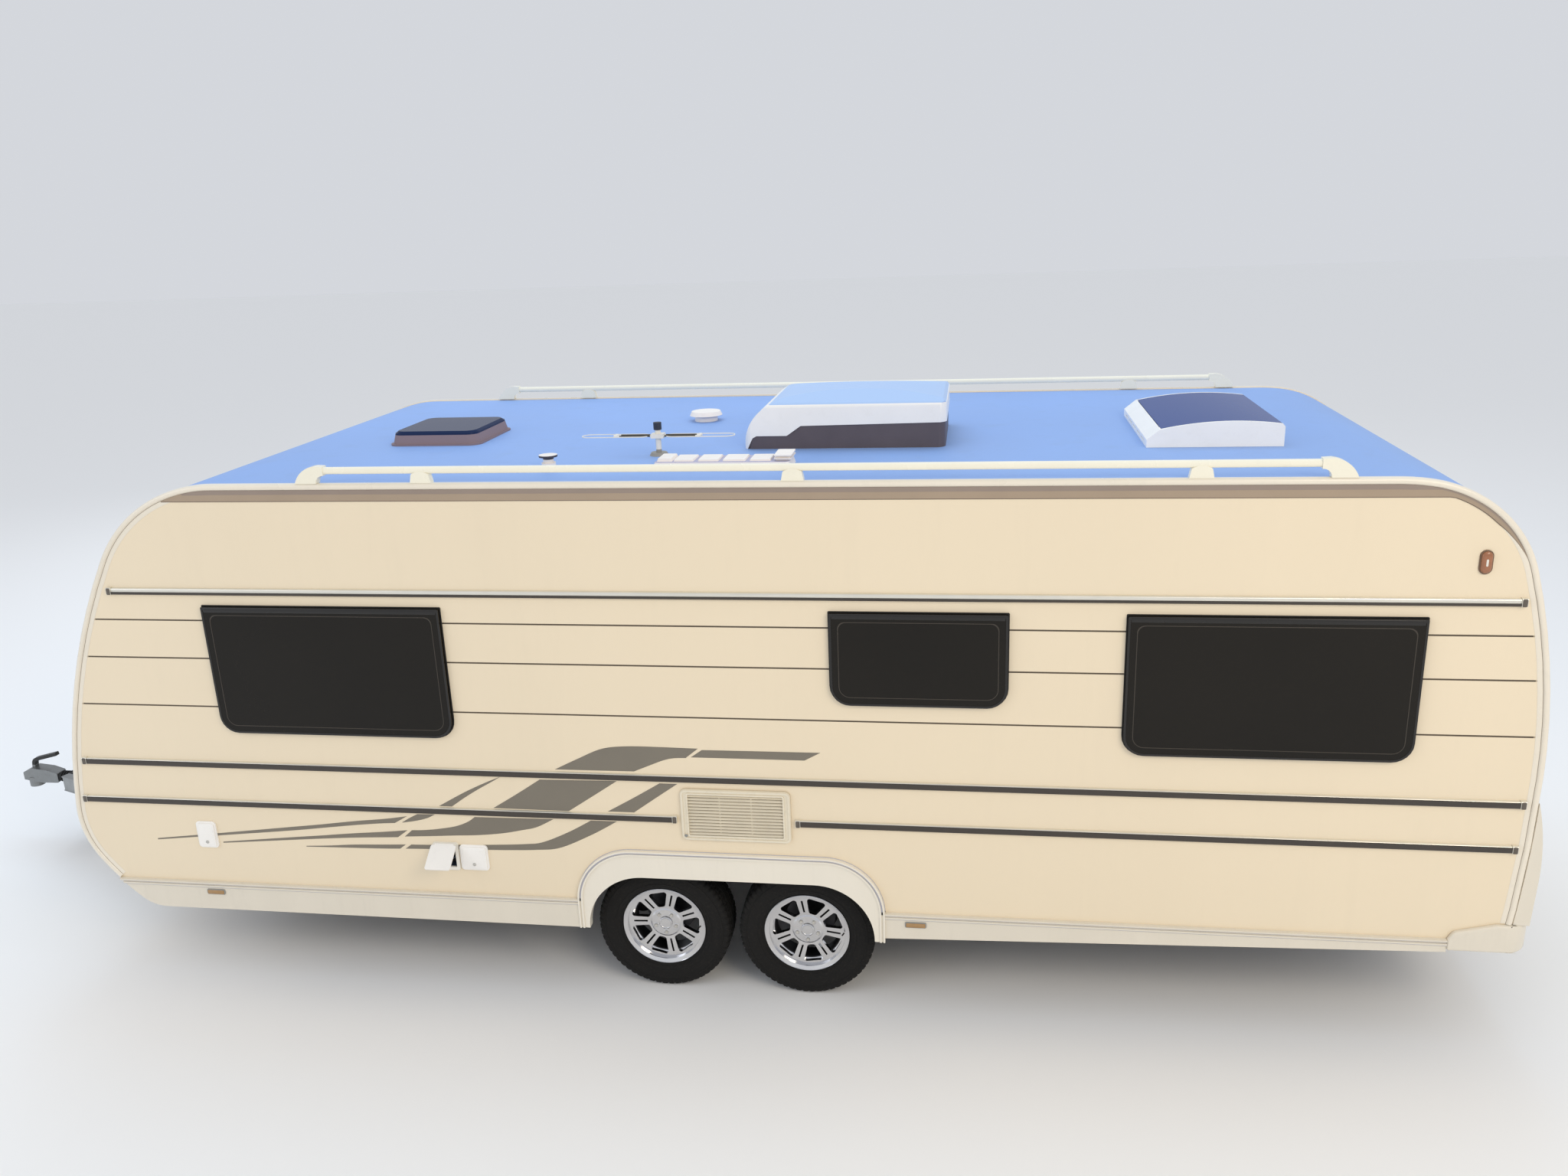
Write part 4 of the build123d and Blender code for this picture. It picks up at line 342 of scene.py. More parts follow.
def piece(name, verts, faces, mat, slot, body="caravan", smooth=False, replaces=(), bevel=0.0):
    """Link a mesh piece, finish it with modifiers, and let it ride on its body."""
    mesh = bpy.data.meshes.new(name)
    mesh.from_pydata([tuple(v) for v in verts], [], faces)
    mesh.validate()
    bm = bmesh.new()
    bm.from_mesh(mesh)
    bmesh.ops.remove_doubles(bm, verts=bm.verts, dist=1e-6)
    bmesh.ops.recalc_face_normals(bm, faces=bm.faces)
    for edge in bm.edges:
        edge.smooth = edge.calc_face_angle(0.0) < math.radians(40)
    bm.to_mesh(mesh)
    bm.free()
    obj = bpy.data.objects.new(name, mesh)
    scene.collection.objects.link(obj)
    mesh.materials.append(M[mat])
    if smooth:
        for p in mesh.polygons:
            p.use_smooth = True
    if bevel:
        bevel_edges(obj, bevel, 2, 35)
    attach(obj, body)
    if replaces:
        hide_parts(*replaces)
    return obj


def ring_faces(a, b, n):
    """Faces between two rings of n points that start at a and b."""
    return [(a + k, a + (k + 1) % n, b + (k + 1) % n, b + k) for k in range(n)]


def blend(a, b, c, d, t):
    """One coordinate of the curve between b and c."""
    return 0.5 * (2 * b + (c - a) * t + (2 * a - 5 * b + 4 * c - d) * t * t + (3 * b - a - 3 * c + d)
        * t ** 3)


def smooth_curve(points, steps=12):
    """Catmull-Rom curve through 2D or 3D points."""
    out = []
    last = len(points) - 1
    for i in range(last):
        p0, p1, p2, p3 = points[max(i - 1, 0)], points[i], points[i + 1], points[min(i + 2, last)]
        for s in range(steps):
            t = s / steps
            out.append(tuple(blend(*row, t) for row in zip(p0, p1, p2, p3)))
    out.append(tuple(points[-1]))
    return out


def plate(name, upper, lower, near, far, mat, slot):
    """A thin plate on the side walls, from a near to a far lift, between two lines of X and Z."""
    verts, faces = [], []
    count = len(upper)
    for side, _ in SIDES:
        base = len(verts)
        for y in (side * (HALF + near), side * (HALF + far)):
            for a, b in zip(upper, lower):
                verts += [(a[0], y, a[1]), (b[0], y, b[1])]
        m = 2 * count
        for i in range(count - 1):
            a = base + 2 * i
            faces.append((a, a + 1, a + 3, a + 2))
            faces.append((m + a, m + a + 2, m + a + 3, m + a + 1))
            faces.append((a, a + 2, m + a + 2, m + a))
            faces.append((a + 1, m + a + 1, m + a + 3, a + 3))
        faces.append((base, base + m, base + m + 1, base + 1))
        e = base + 2 * count - 2
        faces.append((e, e + 1, m + e + 1, m + e))
    return piece(name, verts, faces, mat, slot)


def lathe(name, profile, centre, mat, slot, body="caravan", segments=96, axis="Y", sign=1, closed=True,
        cut=None, lean=0.0, **more):
    """Turn a profile of (radius, offset) about an axle; cut may move a point by its angle and place."""
    verts, faces = [], []
    c, s = math.cos(math.radians(lean)), math.sin(math.radians(lean))
    n = len(profile)
    for k in range(segments):
        angle = 2 * math.pi * k / segments
        for i, (radius, offset) in enumerate(profile):
            if cut:
                radius, offset = cut(k, i, radius, offset)
            offset *= sign
            a, b = radius * math.cos(angle), radius * math.sin(angle)
            spot = {"Y": (a, offset, b), "X": (offset * c + b * s, a, b * c - offset * s)}[axis]
            verts.append(tuple(p + q for p, q in zip(centre, spot)))
    for k in range(segments):
        for i in range(n if closed else n - 1):
            j = (i + 1) % n
            p, q = k * n, ((k + 1) % segments) * n
            faces.append((p + i, p + j, q + j, q + i))
    return piece(name, verts, faces, mat, slot, body, **more)


def prism(name, outline, place, depth, mat, slot, body="caravan"):
    """Extrude a closed 2D outline; place turns (u, v, w) into the frame."""
    n = len(outline)
    verts = [place(u, v, 0.0) for u, v in outline] + [place(u, v, depth) for u, v in outline]
    faces = [tuple(range(n)), tuple(range(2 * n - 1, n - 1, -1))] + ring_faces(0, n, n)
    return piece(name, verts, faces, mat, slot, body)


def band(name, outer, inner, place, depth, mat, slot, body="caravan", **more):
    """A flat ring between two outlines with the same number of points."""
    n = len(outer)
    verts = []
    for w in (0.0, depth):
        verts += [place(u, v, w) for u, v in outer] + [place(u, v, w) for u, v in inner]
    faces = []
    for i in range(n):
        j = (i + 1) % n
        faces.append((i, j, n + j, n + i))
        faces.append((2 * n + i, 3 * n + i, 3 * n + j, 2 * n + j))
        faces.append((i, 2 * n + i, 2 * n + j, j))
        faces.append((n + i, n + j, 3 * n + j, 3 * n + i))
    return piece(name, verts, faces, mat, slot, body, **more)


def round_box(width, height, radii, steps=6):
    """Outline of a rectangle with its own radius at each corner: low left, low right, top right, top left."""
    out = []
    corners = [(-1, -1, 180), (1, -1, 270), (1, 1, 0), (-1, 1, 90)]
    for (sx, sy, start), r in zip(corners, radii):
        cx, cy = sx * (width / 2 - r), sy * (height / 2 - r)
        for k in range(steps + 1):
            a = math.radians(start + 90 * k / steps)
            out.append((cx + r * math.cos(a), cy + r * math.sin(a)))
    return out


def on_side(side, lift, cx, cz):
    """Place for something lying on a side wall: u forward to rear, v up, w outward."""
    return lambda u, v, w: (cx + u, side * (HALF + lift + w), cz + v)


def crown(name, ring, steps, place, mat, slot, body="caravan", **more):
    """A low domed form: an outline drawn in step by step, each step given as inset and lift."""
    rows = [ring(inset) for inset, _ in steps]
    n = len(rows[0])
    verts = []
    for row, (_, lift) in zip(rows, steps):
        verts += [place(u, v, lift) for u, v in row]
    faces = [tuple(range(n)), tuple(reversed(range(len(verts) - n, len(verts))))]
    for i in range(len(rows) - 1):
        faces += ring_faces(i * n, (i + 1) * n, n)
    return piece(name, verts, faces, mat, slot, body, smooth=True, **more)


def oblong(width, height, radius, steps=8):
    """Outline maker for a rounded rectangle that can be drawn in."""
    def ring(inset):
        r = max(radius - inset, 0.0008)
        return round_box(width - 2 * inset, height - 2 * inset, [r] * 4, steps)

    return ring


def strip(name, section, start, end, side, mat, slot):
    """Carry a closed section of (height, lift from the wall) along X on a side wall."""
    return prism(name, section, lambda z, lift, w: (start + w, side * (HALF + lift), z), end - start, mat,
        slot)


# Outline of the body, seen from the side
NOSE, TAIL = -2.668, 4.001
NOSE_Z, TAIL_Z = 0.862, 1.278
SKIRT_LOW = 0.37
NOSE_RADIUS, FACE_RADIUS, CHIN_RADIUS = 0.41, 3.2, 1.1
TAIL_RADIUS, BACK_RADIUS, CROWN_RADIUS = 3.0, 7.0, 0.9


def arcs(x, z, heading, table, step=2.5):
    """Points and headings along tangent arcs, each given as radius and turn; a left turn is positive."""
    a = math.radians(heading)
    out = [(x, z, a)]
    for radius, turn in table:
        sign = 1 if turn > 0 else -1
        cx, cz = x - sign * radius * math.sin(a), z + sign * radius * math.cos(a)
        count = max(3, int(abs(turn) / step) + 1)
        for k in range(1, count + 1):
            b = a + math.radians(turn) * k / count
            out.append((cx + sign * radius * math.sin(b), cz - sign * radius * math.cos(b), b))
        x, z, a = out[-1]
    return out


def body_outline():
    """Stations (x, z, inward x, inward z) from the front skirt over the roof to the rear skirt."""
    sin, cos, rad = math.sin, math.cos, math.radians
    nose_end = NOSE_Z + NOSE_RADIUS * sin(rad(6))
    brow = nose_end + FACE_RADIUS * (sin(rad(30)) - sin(rad(6)))
    shoulder = TAIL_Z + TAIL_RADIUS * sin(rad(17))
    corner = (ROOF - shoulder - CROWN_RADIUS * (1 - cos(rad(8)))) / (cos(rad(8)) - sin(rad(17)))
    chin = NOSE_Z - NOSE_RADIUS * sin(rad(35))
    lip = chin - CHIN_RADIUS * (sin(rad(50)) - sin(rad(35)))
    tuck = math.degrees(math.asin((TAIL_Z - SKIRT_LOW) / BACK_RADIUS))
    up = arcs(NOSE, NOSE_Z, 90, [(NOSE_RADIUS, -6), (FACE_RADIUS, -24),
            ((ROOF - brow) / (1 - sin(rad(30))), -60)])
    down = arcs(NOSE, NOSE_Z, -90, [(NOSE_RADIUS, 35), (CHIN_RADIUS, 15),
            ((lip - SKIRT_LOW) / (1 - sin(rad(50))), 40)])
    back_up = arcs(TAIL, TAIL_Z, 90, [(TAIL_RADIUS, 17), (corner, 65), (CROWN_RADIUS, 8)])
    back_down = arcs(TAIL, TAIL_Z, -90, [(BACK_RADIUS, -tuck)])
    run = [(x, z, -sin(a), cos(a)) for x, z, a in reversed(down)]
    run += [(x, z, sin(a), -cos(a)) for x, z, a in up[1:]]
    run += [(x, z, -sin(a), cos(a)) for x, z, a in reversed(back_up)]
    run += [(x, z, sin(a), -cos(a)) for x, z, a in back_down[1:]]
    return run


OUTLINE = body_outline()


def cut_outline(front_low, rear_low):
    """The outline's stations above a height at the front and another at the rear, with exact ends."""
    def between(p, q, z):
        t = (z - p[1]) / (q[1] - p[1])
        return tuple(a + (b - a) * t for a, b in zip(p, q))

    middle = (NOSE + TAIL) / 2
    out = []
    for p, q in zip(OUTLINE, OUTLINE[1:]):
        limit = front_low if (p[0] + q[0]) / 2 < middle else rear_low
        if p[1] < limit <= q[1]:
            out.append(between(p, q, limit))
        if q[1] >= limit:
            if not out:
                out.append(p)
            out.append(q)
        elif p[1] > limit:
            out.append(between(p, q, limit))
            if (p[0] + q[0]) / 2 > middle:
                break
    return out


def sweep(name, stations, section, mat, slot, **more):
    """Carry a closed section of (inset, lift from the wall) along the outline, on both sides."""
    n = len(section)
    verts, faces = [], []
    for side, _ in SIDES:
        base = len(verts)
        for x, z, nx, nz in stations:
            verts += [(x + t * nx, side * (HALF + lift), z + t * nz) for t, lift in section]
        faces += [tuple(range(base, base + n)), tuple(reversed(range(len(verts) - n, len(verts))))]
        for i in range(len(stations) - 1):
            faces += ring_faces(base + i * n, base + (i + 1) * n, n)
    return piece(name, verts, faces, mat, slot, smooth=True, **more)


def skin(z, rear):
    """X of the body's outer skin at a height, at the front or the rear."""
    for p, q in zip(OUTLINE, OUTLINE[1:]):
        if ((p[0] + q[0]) / 2 > 0.5) == rear and min(p[1], q[1]) <= z <= max(p[1], q[1]) and p[1] != q[1]:
            return p[0] + (q[0] - p[0]) * (z - p[1]) / (q[1] - p[1])
    raise ValueError("the outline has no such height")


# Wheels: height of the axles, half the track and X of each axle
AXLE_Z, TRACK_HALF = 0.325, 1.07
AXLES = {"front": 0.259, "rear": 0.951}


def mirrored(half):
    """A profile of (radius, offset) and its mirror image, as one run."""
    return half + [(r, -o) for r, o in reversed(half)]


def tyre(name, x, y, body, node):
    """Road tyre with ribbed sidewalls, four grooves and cut shoulders."""
    half = [(0.1995, 0.0735), (0.203, 0.079), (0.212, 0.085), (0.218, 0.0925), (0.23, 0.0965),
        (0.2325, 0.0985), (0.236, 0.0985), (0.2385, 0.0972), (0.255, 0.0992), (0.27, 0.0992), (0.285, 0.0975),
        (0.2865, 0.099), (0.2905, 0.0985), (0.292, 0.0962), (0.302, 0.0945), (0.312, 0.0905), (0.319, 0.084),
        (0.3225, 0.077), (0.3232, 0.064), (0.315, 0.0625), (0.315, 0.057), (0.3238, 0.0555), (0.3244, 0.027),
        (0.315, 0.0255), (0.315, 0.019), (0.3248, 0.0175), (0.325, 0.004)]
    profile = mirrored(half) + [(0.1995, -0.06), (0.26, -0.06), (0.26, 0.06), (0.1995, 0.06)]

    def cut(k, i, radius, offset):
        """Slots in the shoulder, points 14 to 18, and in the ribs beside the middle, points 21 and 22."""
        place = min(i, 2 * len(half) - 1 - i)
        if 14 <= place <= 18 and k % 4 == 0:
            radius -= 0.0055
        elif place in (21, 22) and k % 4 == 2:
            radius -= 0.0045
        return radius, offset

    return lathe(name, profile, (x, y, AXLE_Z), "tyre", "tyre_rubber", body, segments=240, cut=cut,
        replaces=(node,))


CAP = [(0.0, 0.0), (0.031, 0.0), (0.0325, 0.003), (0.0315, 0.0065), (0.028, 0.0085), (0.0255, 0.008),
    (0.0245, 0.0068), (0.012, 0.0074), (0.0, 0.0074)]
BOLT_CUP = [(0.0095, 0.0012), (0.012, 0.0012), (0.0132, 0.0004), (0.0132, 0.0), (0.0095, 0.0)]
BOLT = [(0.0, 0.0), (0.0088, 0.0), (0.0088, 0.0075), (0.007, 0.0095), (0.0, 0.01)]
RIM_BEAD = [(0.1985, 0.0832), (0.2005, 0.0846), (0.2022, 0.0838), (0.2024, 0.0815), (0.199, 0.0815)]
# Valve: distance from the axle and from the wheel's middle
VALVE = [(0.1745, 0.066), (0.1715, 0.076), (0.168, 0.086)]
HUB_FACE, BOLT_CIRCLE = 0.049, 0.052


def valve(name, points, body, radius=0.0036, sides=10):
    """A round stem along a level curve."""
    line = [Vector(p) for p in smooth_curve(points, 3)]
    up = Vector((0, 0, 1))
    verts, faces = [], []
    for i, p in enumerate(line):
        across = (line[min(i + 1, len(line) - 1)] - line[max(i - 1, 0)]).normalized().cross(up)
        for k in range(sides):
            a = 2 * math.pi * k / sides
            verts.append(p + radius * (math.cos(a) * up + math.sin(a) * across))
    for i in range(len(line) - 1):
        faces += ring_faces(i * sides, (i + 1) * sides, sides)
    faces += [tuple(range(sides)), tuple(reversed(range(len(verts) - sides, len(verts))))]
    piece(name, verts, faces, "rubber", "tyre_rubber", body, smooth=True)


def wheel_trim(tag, x, y, side, body):
    """Centre cap, wheel bolts, rim bead and valve on an alloy rim."""
    face = y + side * HUB_FACE
    lathe(f"cap_{tag}", CAP, (x, face, AXLE_Z), "alloy", "alloy", body, segments=48, sign=side, closed=False,
        smooth=True)
    for k in range(5):
        a = math.radians(126 + 72 * k)
        spot = (x + BOLT_CIRCLE * math.cos(a), face, AXLE_Z + BOLT_CIRCLE * math.sin(a))
        lathe(f"bolt_cup_{tag}_{k}", BOLT_CUP, spot, "alloy", "alloy", body, segments=24, sign=side,
            smooth=True)
        lathe(f"bolt_{tag}_{k}", BOLT, spot, "lock", "galvanised", body, segments=6, sign=side, closed=False)
    lathe(f"rim_bead_{tag}", RIM_BEAD, (x, y, AXLE_Z), "alloy", "alloy", body, sign=side, smooth=True)
    valve(f"valve_{tag}", [(x + out, y + side * reach, AXLE_Z) for out, reach in VALVE], body)


for end, x in AXLES.items():
    for side, label in SIDES:
        wheel_body = f"wheel_{end}_{label}"
        tyre(f"road_tyre_{end}_{label}", x, side * TRACK_HALF, wheel_body, f"tyre_{end}_{label}")
        wheel_trim(f"{end}_{label}", x, side * TRACK_HALF, side, wheel_body)

# Jockey wheel: centre, and half the profiles of its tyre and hub
JOCKEY = (-3.65, 0.16, 0.1)
JOCKEY_TYRE = [(0.06, 0.0256), (0.064, 0.0276), (0.07, 0.028), (0.086, 0.0272), (0.0945, 0.024),
    (0.0985, 0.019), (0.0998, 0.013), (0.0972, 0.0118), (0.0972, 0.0086), (0.1, 0.0074), (0.1, 0.002)]
JOCKEY_HUB = [(0.0084, 0.0268), (0.017, 0.0272), (0.019, 0.0262), (0.02, 0.019), (0.026, 0.013),
    (0.046, 0.012), (0.054, 0.018), (0.057, 0.0252), (0.0604, 0.0256)]


def spokes(k, i, radius, offset):
    """Shallow pockets between five spokes of the small wheel, at points 4 and 5 of the hub."""
    if min(i, 2 * len(JOCKEY_HUB) - 1 - i) in (4, 5) and 3 <= k % 12 <= 9:
        offset *= 0.45
    return radius, offset


lathe("jockey_tyre", mirrored(JOCKEY_TYRE), JOCKEY, "tyre", "tyre_rubber", "jockey_roller", smooth=True,
    replaces=("jockey_wheel",))
lathe("jockey_hub", mirrored(JOCKEY_HUB), JOCKEY, "plastic_grey", "dark_plastic", "jockey_roller",
    segments=60, smooth=True, cut=spokes, replaces=("jockey_wheel",))

# Edge mouldings and the band under the roof's edge
EDGE = [(-0.006, -0.0238), (-0.0062, -0.01), (-0.0058, -0.002), (-0.0035, 0.005), (0.001, 0.0088),
    (0.0075, 0.01), (0.014, 0.009), (0.018, 0.006), (0.0196, 0.0022), (0.0205, 0.0014), (0.0405, 0.0012),
    (0.042, 0.0003), (0.0, 0.0003), (0.0, -0.0238)]
SEALER = [(0.0196, 0.001), (0.0199, 0.0024), (0.0212, 0.0019), (0.0218, 0.001)]
edge_line = cut_outline(0.521, 0.601)
sweep("edge_moulding", edge_line, EDGE, "trim", "trim_taupe", replaces=("edge_trims",))
sweep("edge_sealer", edge_line, SEALER, "joint", "trim_taupe")


def roof_band(name, low, far, tail_width, mat, deepest=1.0):
    """Coloured band between the edge moulding and a level, running out along the rear corner."""
    top, corner_x, tail_low, tail_fade = 0.0206, 3.0, 2.2, 0.16
    upper, lower = [], []
    for x, z, nx, nz in cut_outline(2.3, 2.19):
        ux, uz = x + top * nx, z + top * nz
        deep = min(deepest, (uz - low) / -nz) if uz > low and nz < -0.2 else 0.0
        if x > corner_x:
            deep = max(deep, tail_width * min(1.0, max(0.0, (uz - tail_low) / tail_fade)))
        if deep > 0.0004 or upper and x < corner_x:
            upper.append((ux, uz))
            lower.append((ux + deep * nx, uz + deep * nz))
    plate(name, upper, lower, 0.0002, far, mat, "trim_taupe")


roof_band("roof_band", 2.45, 0.0022, 0.02, "band")
roof_band("roof_band_upper", 2.478, 0.0026, 0.006, "band_upper", deepest=0.02)
roof_band("roof_band_line", 2.447, 0.0018, 0.023, "band_line")

# Decals of the sides, in millimetres in the camera fit's axes, and their shift into the frame
GRID_X, GRID_Z = 1730, -80


def gauge(points):
    """Measured X and Z of the photographed side, brought into the frame, in metres."""
    return [((x + GRID_X) / 1000, (z + GRID_Z) / 1000) for x, z in points]


SWOOSHES = {
    "head": (
        [(-1904, 1265), (-1790, 1322), (-1675, 1374), (-1560, 1390), (-1400, 1391), (-1227, 1388)],
        [(-1530, 1267), (-1460, 1297), (-1390, 1326), (-1340, 1338), (-1286, 1341), (-1284, 1342)]),
    "tail": ([(-1209, 1382), (-1000, 1383), (-675, 1384)], [(-1261, 1345), (-1000, 1345), (-746, 1345)]),
    "middle": ([(-1983, 1211), (-2100, 1134), (-2223, 1057)], [(-1615, 1216), (-1736, 1135), (-1857, 1055)]),
    "low": (
        [(-1936, 1010), (-2020, 966), (-2094, 947), (-2196, 926), (-2314, 912), (-2431, 905), (-2550, 897),
         (-2686, 889)],
        [(-2322, 1006), (-2360, 979), (-2425, 953), (-2513, 936), (-2585, 927), (-2645, 924)]),
    "band": ([(-1332, 1211), (-1440, 1135), (-1545, 1060)], [(-1415, 1211), (-1540, 1135), (-1670, 1060)]),
    "band_low": (
        [(-1631, 1010), (-1760, 935), (-1917, 862), (-2037, 846), (-2167, 839), (-2260, 836), (-2559, 828),
         (-2690, 824)],
        [(-1755, 1010), (-1870, 945), (-1998, 888), (-2086, 874), (-2257, 863), (-2556, 850), (-2659, 847)]),
    "thread": (
        [(-2175, 1218), (-2260, 1181), (-2365, 1129), (-2492, 1057)],
        [(-2177, 1216), (-2220, 1190), (-2286, 1152), (-2360, 1105), (-2428, 1057)]),
    "thread_low": (
        [(-2607, 1010), (-2648, 989), (-2689, 964)],
        [(-2519, 1012), (-2561, 991), (-2618, 975), (-2687, 963)]),
    "line_upper": (
        [(-2661, 997), (-2775, 979), (-2937, 960), (-3101, 937), (-3267, 916), (-3655, 867), (-3990, 826)],
        [(-2727, 959), (-2811, 953), (-2940, 939), (-3104, 918), (-3270, 897), (-3655, 855), (-3992, 819)]),
    "line_middle": (
        [(-2668, 923), (-2785, 910), (-2947, 895), (-3111, 877), (-3276, 860), (-3640, 821)],
        [(-2721, 884), (-2821, 879), (-2950, 872), (-3114, 860), (-3278, 846), (-3640, 815)]),
    "line_low": (
        [(-2687, 846), (-2795, 841), (-2956, 834), (-3079, 824), (-3202, 817)],
        [(-2718, 823), (-2798, 820), (-2959, 817), (-3080, 815), (-3203, 813)]),
}
DOOR_X, DOOR_WIDTH = -0.968, 0.6
DOOR_REAR = DOOR_X + DOOR_WIDTH
# Right-hand side: X range, body and ending of the name for each stretch
DOOR_SPANS = [(None, DOOR_X - 0.02, "caravan", ""), (DOOR_X + 0.0125, DOOR_REAR - 0.0125, "door", "_door"),
    (DOOR_REAR + 0.02, None, "caravan", "_rear")]


def cut_at(outline, limit, keep):
    """Cut a closed outline at an upright line; keep is 1 for what lies behind it and -1 for the rest."""
    out = []
    for (x0, z0), (x1, z1) in zip(outline, outline[1:] + outline[:1]):
        inside = (x0 - limit) * keep >= 0
        if inside:
            out.append((x0, z0))
        if inside != ((x1 - limit) * keep >= 0):
            out.append((limit, z0 + (z1 - z0) * (limit - x0) / (x1 - x0)))
    return out


def decal(name, outline, side, body="caravan"):
    """A film 0.7 mm thick on a side wall or on the door."""
    prism(name, outline, lambda x, z, w: (x, side * (HALF + 0.0001 + w), z), 0.0007, "decal_grey",
        "bright_rail", body)


for name, (upper, lower) in SWOOSHES.items():
    outline = smooth_curve(gauge(upper), 10) + smooth_curve(gauge(lower), 10)[::-1]
    decal(f"swoosh_{name}_left", outline, -1)
    for low, high, body, ending in DOOR_SPANS:
        part = outline if low is None else cut_at(outline, low, 1)
        part = part if high is None else cut_at(part, high, -1)
        if len(part) > 3:
            decal(f"swoosh_{name}_right{ending}", part, 1, body)


# Panes, their frames and hinges: distance from the nose, width and sill of each, under one head
PANES = {
    -1: {"front": (0.88, 1.15, 1.335), "kitchen": (3.779, 0.751, 1.54), "rear": (5.013, 1.151, 1.34)},
    1: {"front": (0.5, 1.0, 1.335), "middle": (3.779, 0.751, 1.54), "rear": (5.013, 1.151, 1.34)},
}
HEAD = 1.957


def pane_outline(width, height, inset, low=0.085):
    """Outline of a side pane with round lower corners and nearly sharp upper ones."""
    low_radius, top_radius = max(low - inset, 0.004), max(0.006, 0.002 + inset * 0.8)
    return round_box(width - 2 * inset, height - 2 * inset, [low_radius] * 2 + [top_radius] * 2)


HINGE_STEPS = [(0, 0), (0, 0.0006), (0.0014, 0.0016), (0.005, 0.0021)]
for side, label in SIDES:
    for where, (front, width, sill) in PANES[side].items():
        cx, cz = NOSE + front + width / 2, (sill + HEAD) / 2
        height = HEAD - sill
        put = on_side(side, 0.0198, cx, cz)
        tag = f"{where}_{label}"
        # A lighter ring inside the pane: the inner frame, with a painted highlight.
        band(f"pane_line_{tag}", pane_outline(width, height, 0.036), pane_outline(width, height, 0.0395), put,
            0.0012, "pane_frame_highlight", "dark_acrylic", bevel=0.0004)
        band(f"pane_rim_{tag}", pane_outline(width, height, -0.0006), pane_outline(width, height, 0.009), put,
            0.0012, "pane_lip", "dark_acrylic", bevel=0.0005)
        crown(f"pane_hinge_{tag}", oblong(width - 0.024, 0.022, 0.004, 3), HINGE_STEPS,
            on_side(side, 0.0196, cx, HEAD - 0.013), "pane_lip", "dark_plastic")
        band(f"pane_gasket_{tag}", pane_outline(width + 0.012, height + 0.012, 0.0, low=0.09),
            pane_outline(width, height, 0.0), on_side(side, 0.0, cx, cz), 0.0035, "rubber", "dark_plastic",
            bevel=0.001)


def on_end(rear, lift, cy, cz):
    """Place for something lying on the curved front or rear wall: u across, v up, w outward."""
    sign = 1 if rear else -1
    return lambda u, v, w: (skin(cz + v, rear) + sign * (lift + w), cy + u, cz + v)


def end_band(name, outer, inner, place, depth, mat, slot):
    """A ring that follows the curved wall, so its long edges get points between."""
    pairs = []
    n = len(outer)
    for i in range(n):
        j = (i + 1) % n
        count = max(1, int(math.dist(outer[i], outer[j]) / 0.03))
        for k in range(count):
            t = k / count
            pairs.append(tuple(tuple(a + (b - a) * t for a, b in zip(row[i], row[j]))
                    for row in (outer, inner)))
    return band(name, [p for p, _ in pairs], [q for _, q in pairs], place, depth, mat, slot)


# Tag, at the rear or not, middle in Y, width and sill
END_PANES = [("front_left", False, -0.88, 0.44, 1.335), ("front_middle", False, 0.0, 1.18, 1.335),
    ("front_right", False, 0.88, 0.44, 1.335), ("rear", True, 0.0, 1.5, 1.38)]
for tag, rear, cy, width, sill in END_PANES:
    cz, height = (sill + HEAD) / 2, HEAD - sill
    ring = oblong(width, height, 0.02, 4)
    end_band(f"pane_rim_{tag}", ring(-0.0008), ring(0.01), on_end(rear, 0.0196, cy, cz), 0.0016, "pane_lip",
        "dark_acrylic")
    # A lighter ring inside the pane: the inner frame, with a painted highlight.
    end_band(f"pane_line_{tag}", ring(0.036), ring(0.0395), on_end(rear, 0.0192, cy, cz), 0.0016, "pane_frame_highlight",
        "dark_acrylic")
    end_band(f"pane_gasket_{tag}", ring(-0.006), ring(0.0), on_end(rear, -0.001, cy, cz), 0.005, "rubber",
        "dark_plastic")

# Pressed lines of the sides, dark inside as painted shade
PRESS_LINES = (1.887, 1.7, 1.458)
# Section of a line, and the stretches that panes and door take out of it, with their sills
PRESS = [(-0.0036, 0.0003), (-0.0034, -0.0028), (0.0034, -0.0028), (0.0036, 0.0003), (0.0027, 0.0003),
    (0.0025, -0.002), (-0.0025, -0.002), (-0.0027, 0.0003)]
BLOCKS = {}
for side, table in PANES.items():
    BLOCKS[side] = [(NOSE + f + 0.02, NOSE + f + w - 0.02, s) for f, w, s in table.values()]
BLOCKS[1].append((DOOR_X - 0.001, DOOR_REAR + 0.001, 0.0))
for side, label in SIDES:
    for row, z in enumerate(PRESS_LINES):
        spot = skin(z, False) + 0.049
        stops = sorted(b for b in BLOCKS[side] if b[2] < z) + [(skin(z, True) - 0.0465, 0.0, 0.0)]
        for run, (start, end, _) in enumerate(stops):
            strip(f"press_line_{label}_{row}_{run}", [(z + up, lift) for up, lift in PRESS], spot, start,
                side, "groove", "body_white")
            spot = end

# Dark inserts, with painted shade on the rails' lower faces, and end plates of the long rails: front and rear
# from the nose, and height
RAILS = {
    -1: [(0.416, 6.516, 2.028), (0.096, 6.622, 1.16), (0.056, 3.056, 0.956), (3.602, 6.616, 0.956)],
    1: [(0.416, 1.66, 2.028), (2.312, 6.516, 2.028), (0.096, 1.66, 1.16), (2.312, 6.622, 1.16),
        (0.056, 1.66, 0.956), (2.312, 6.616, 0.956)],
}
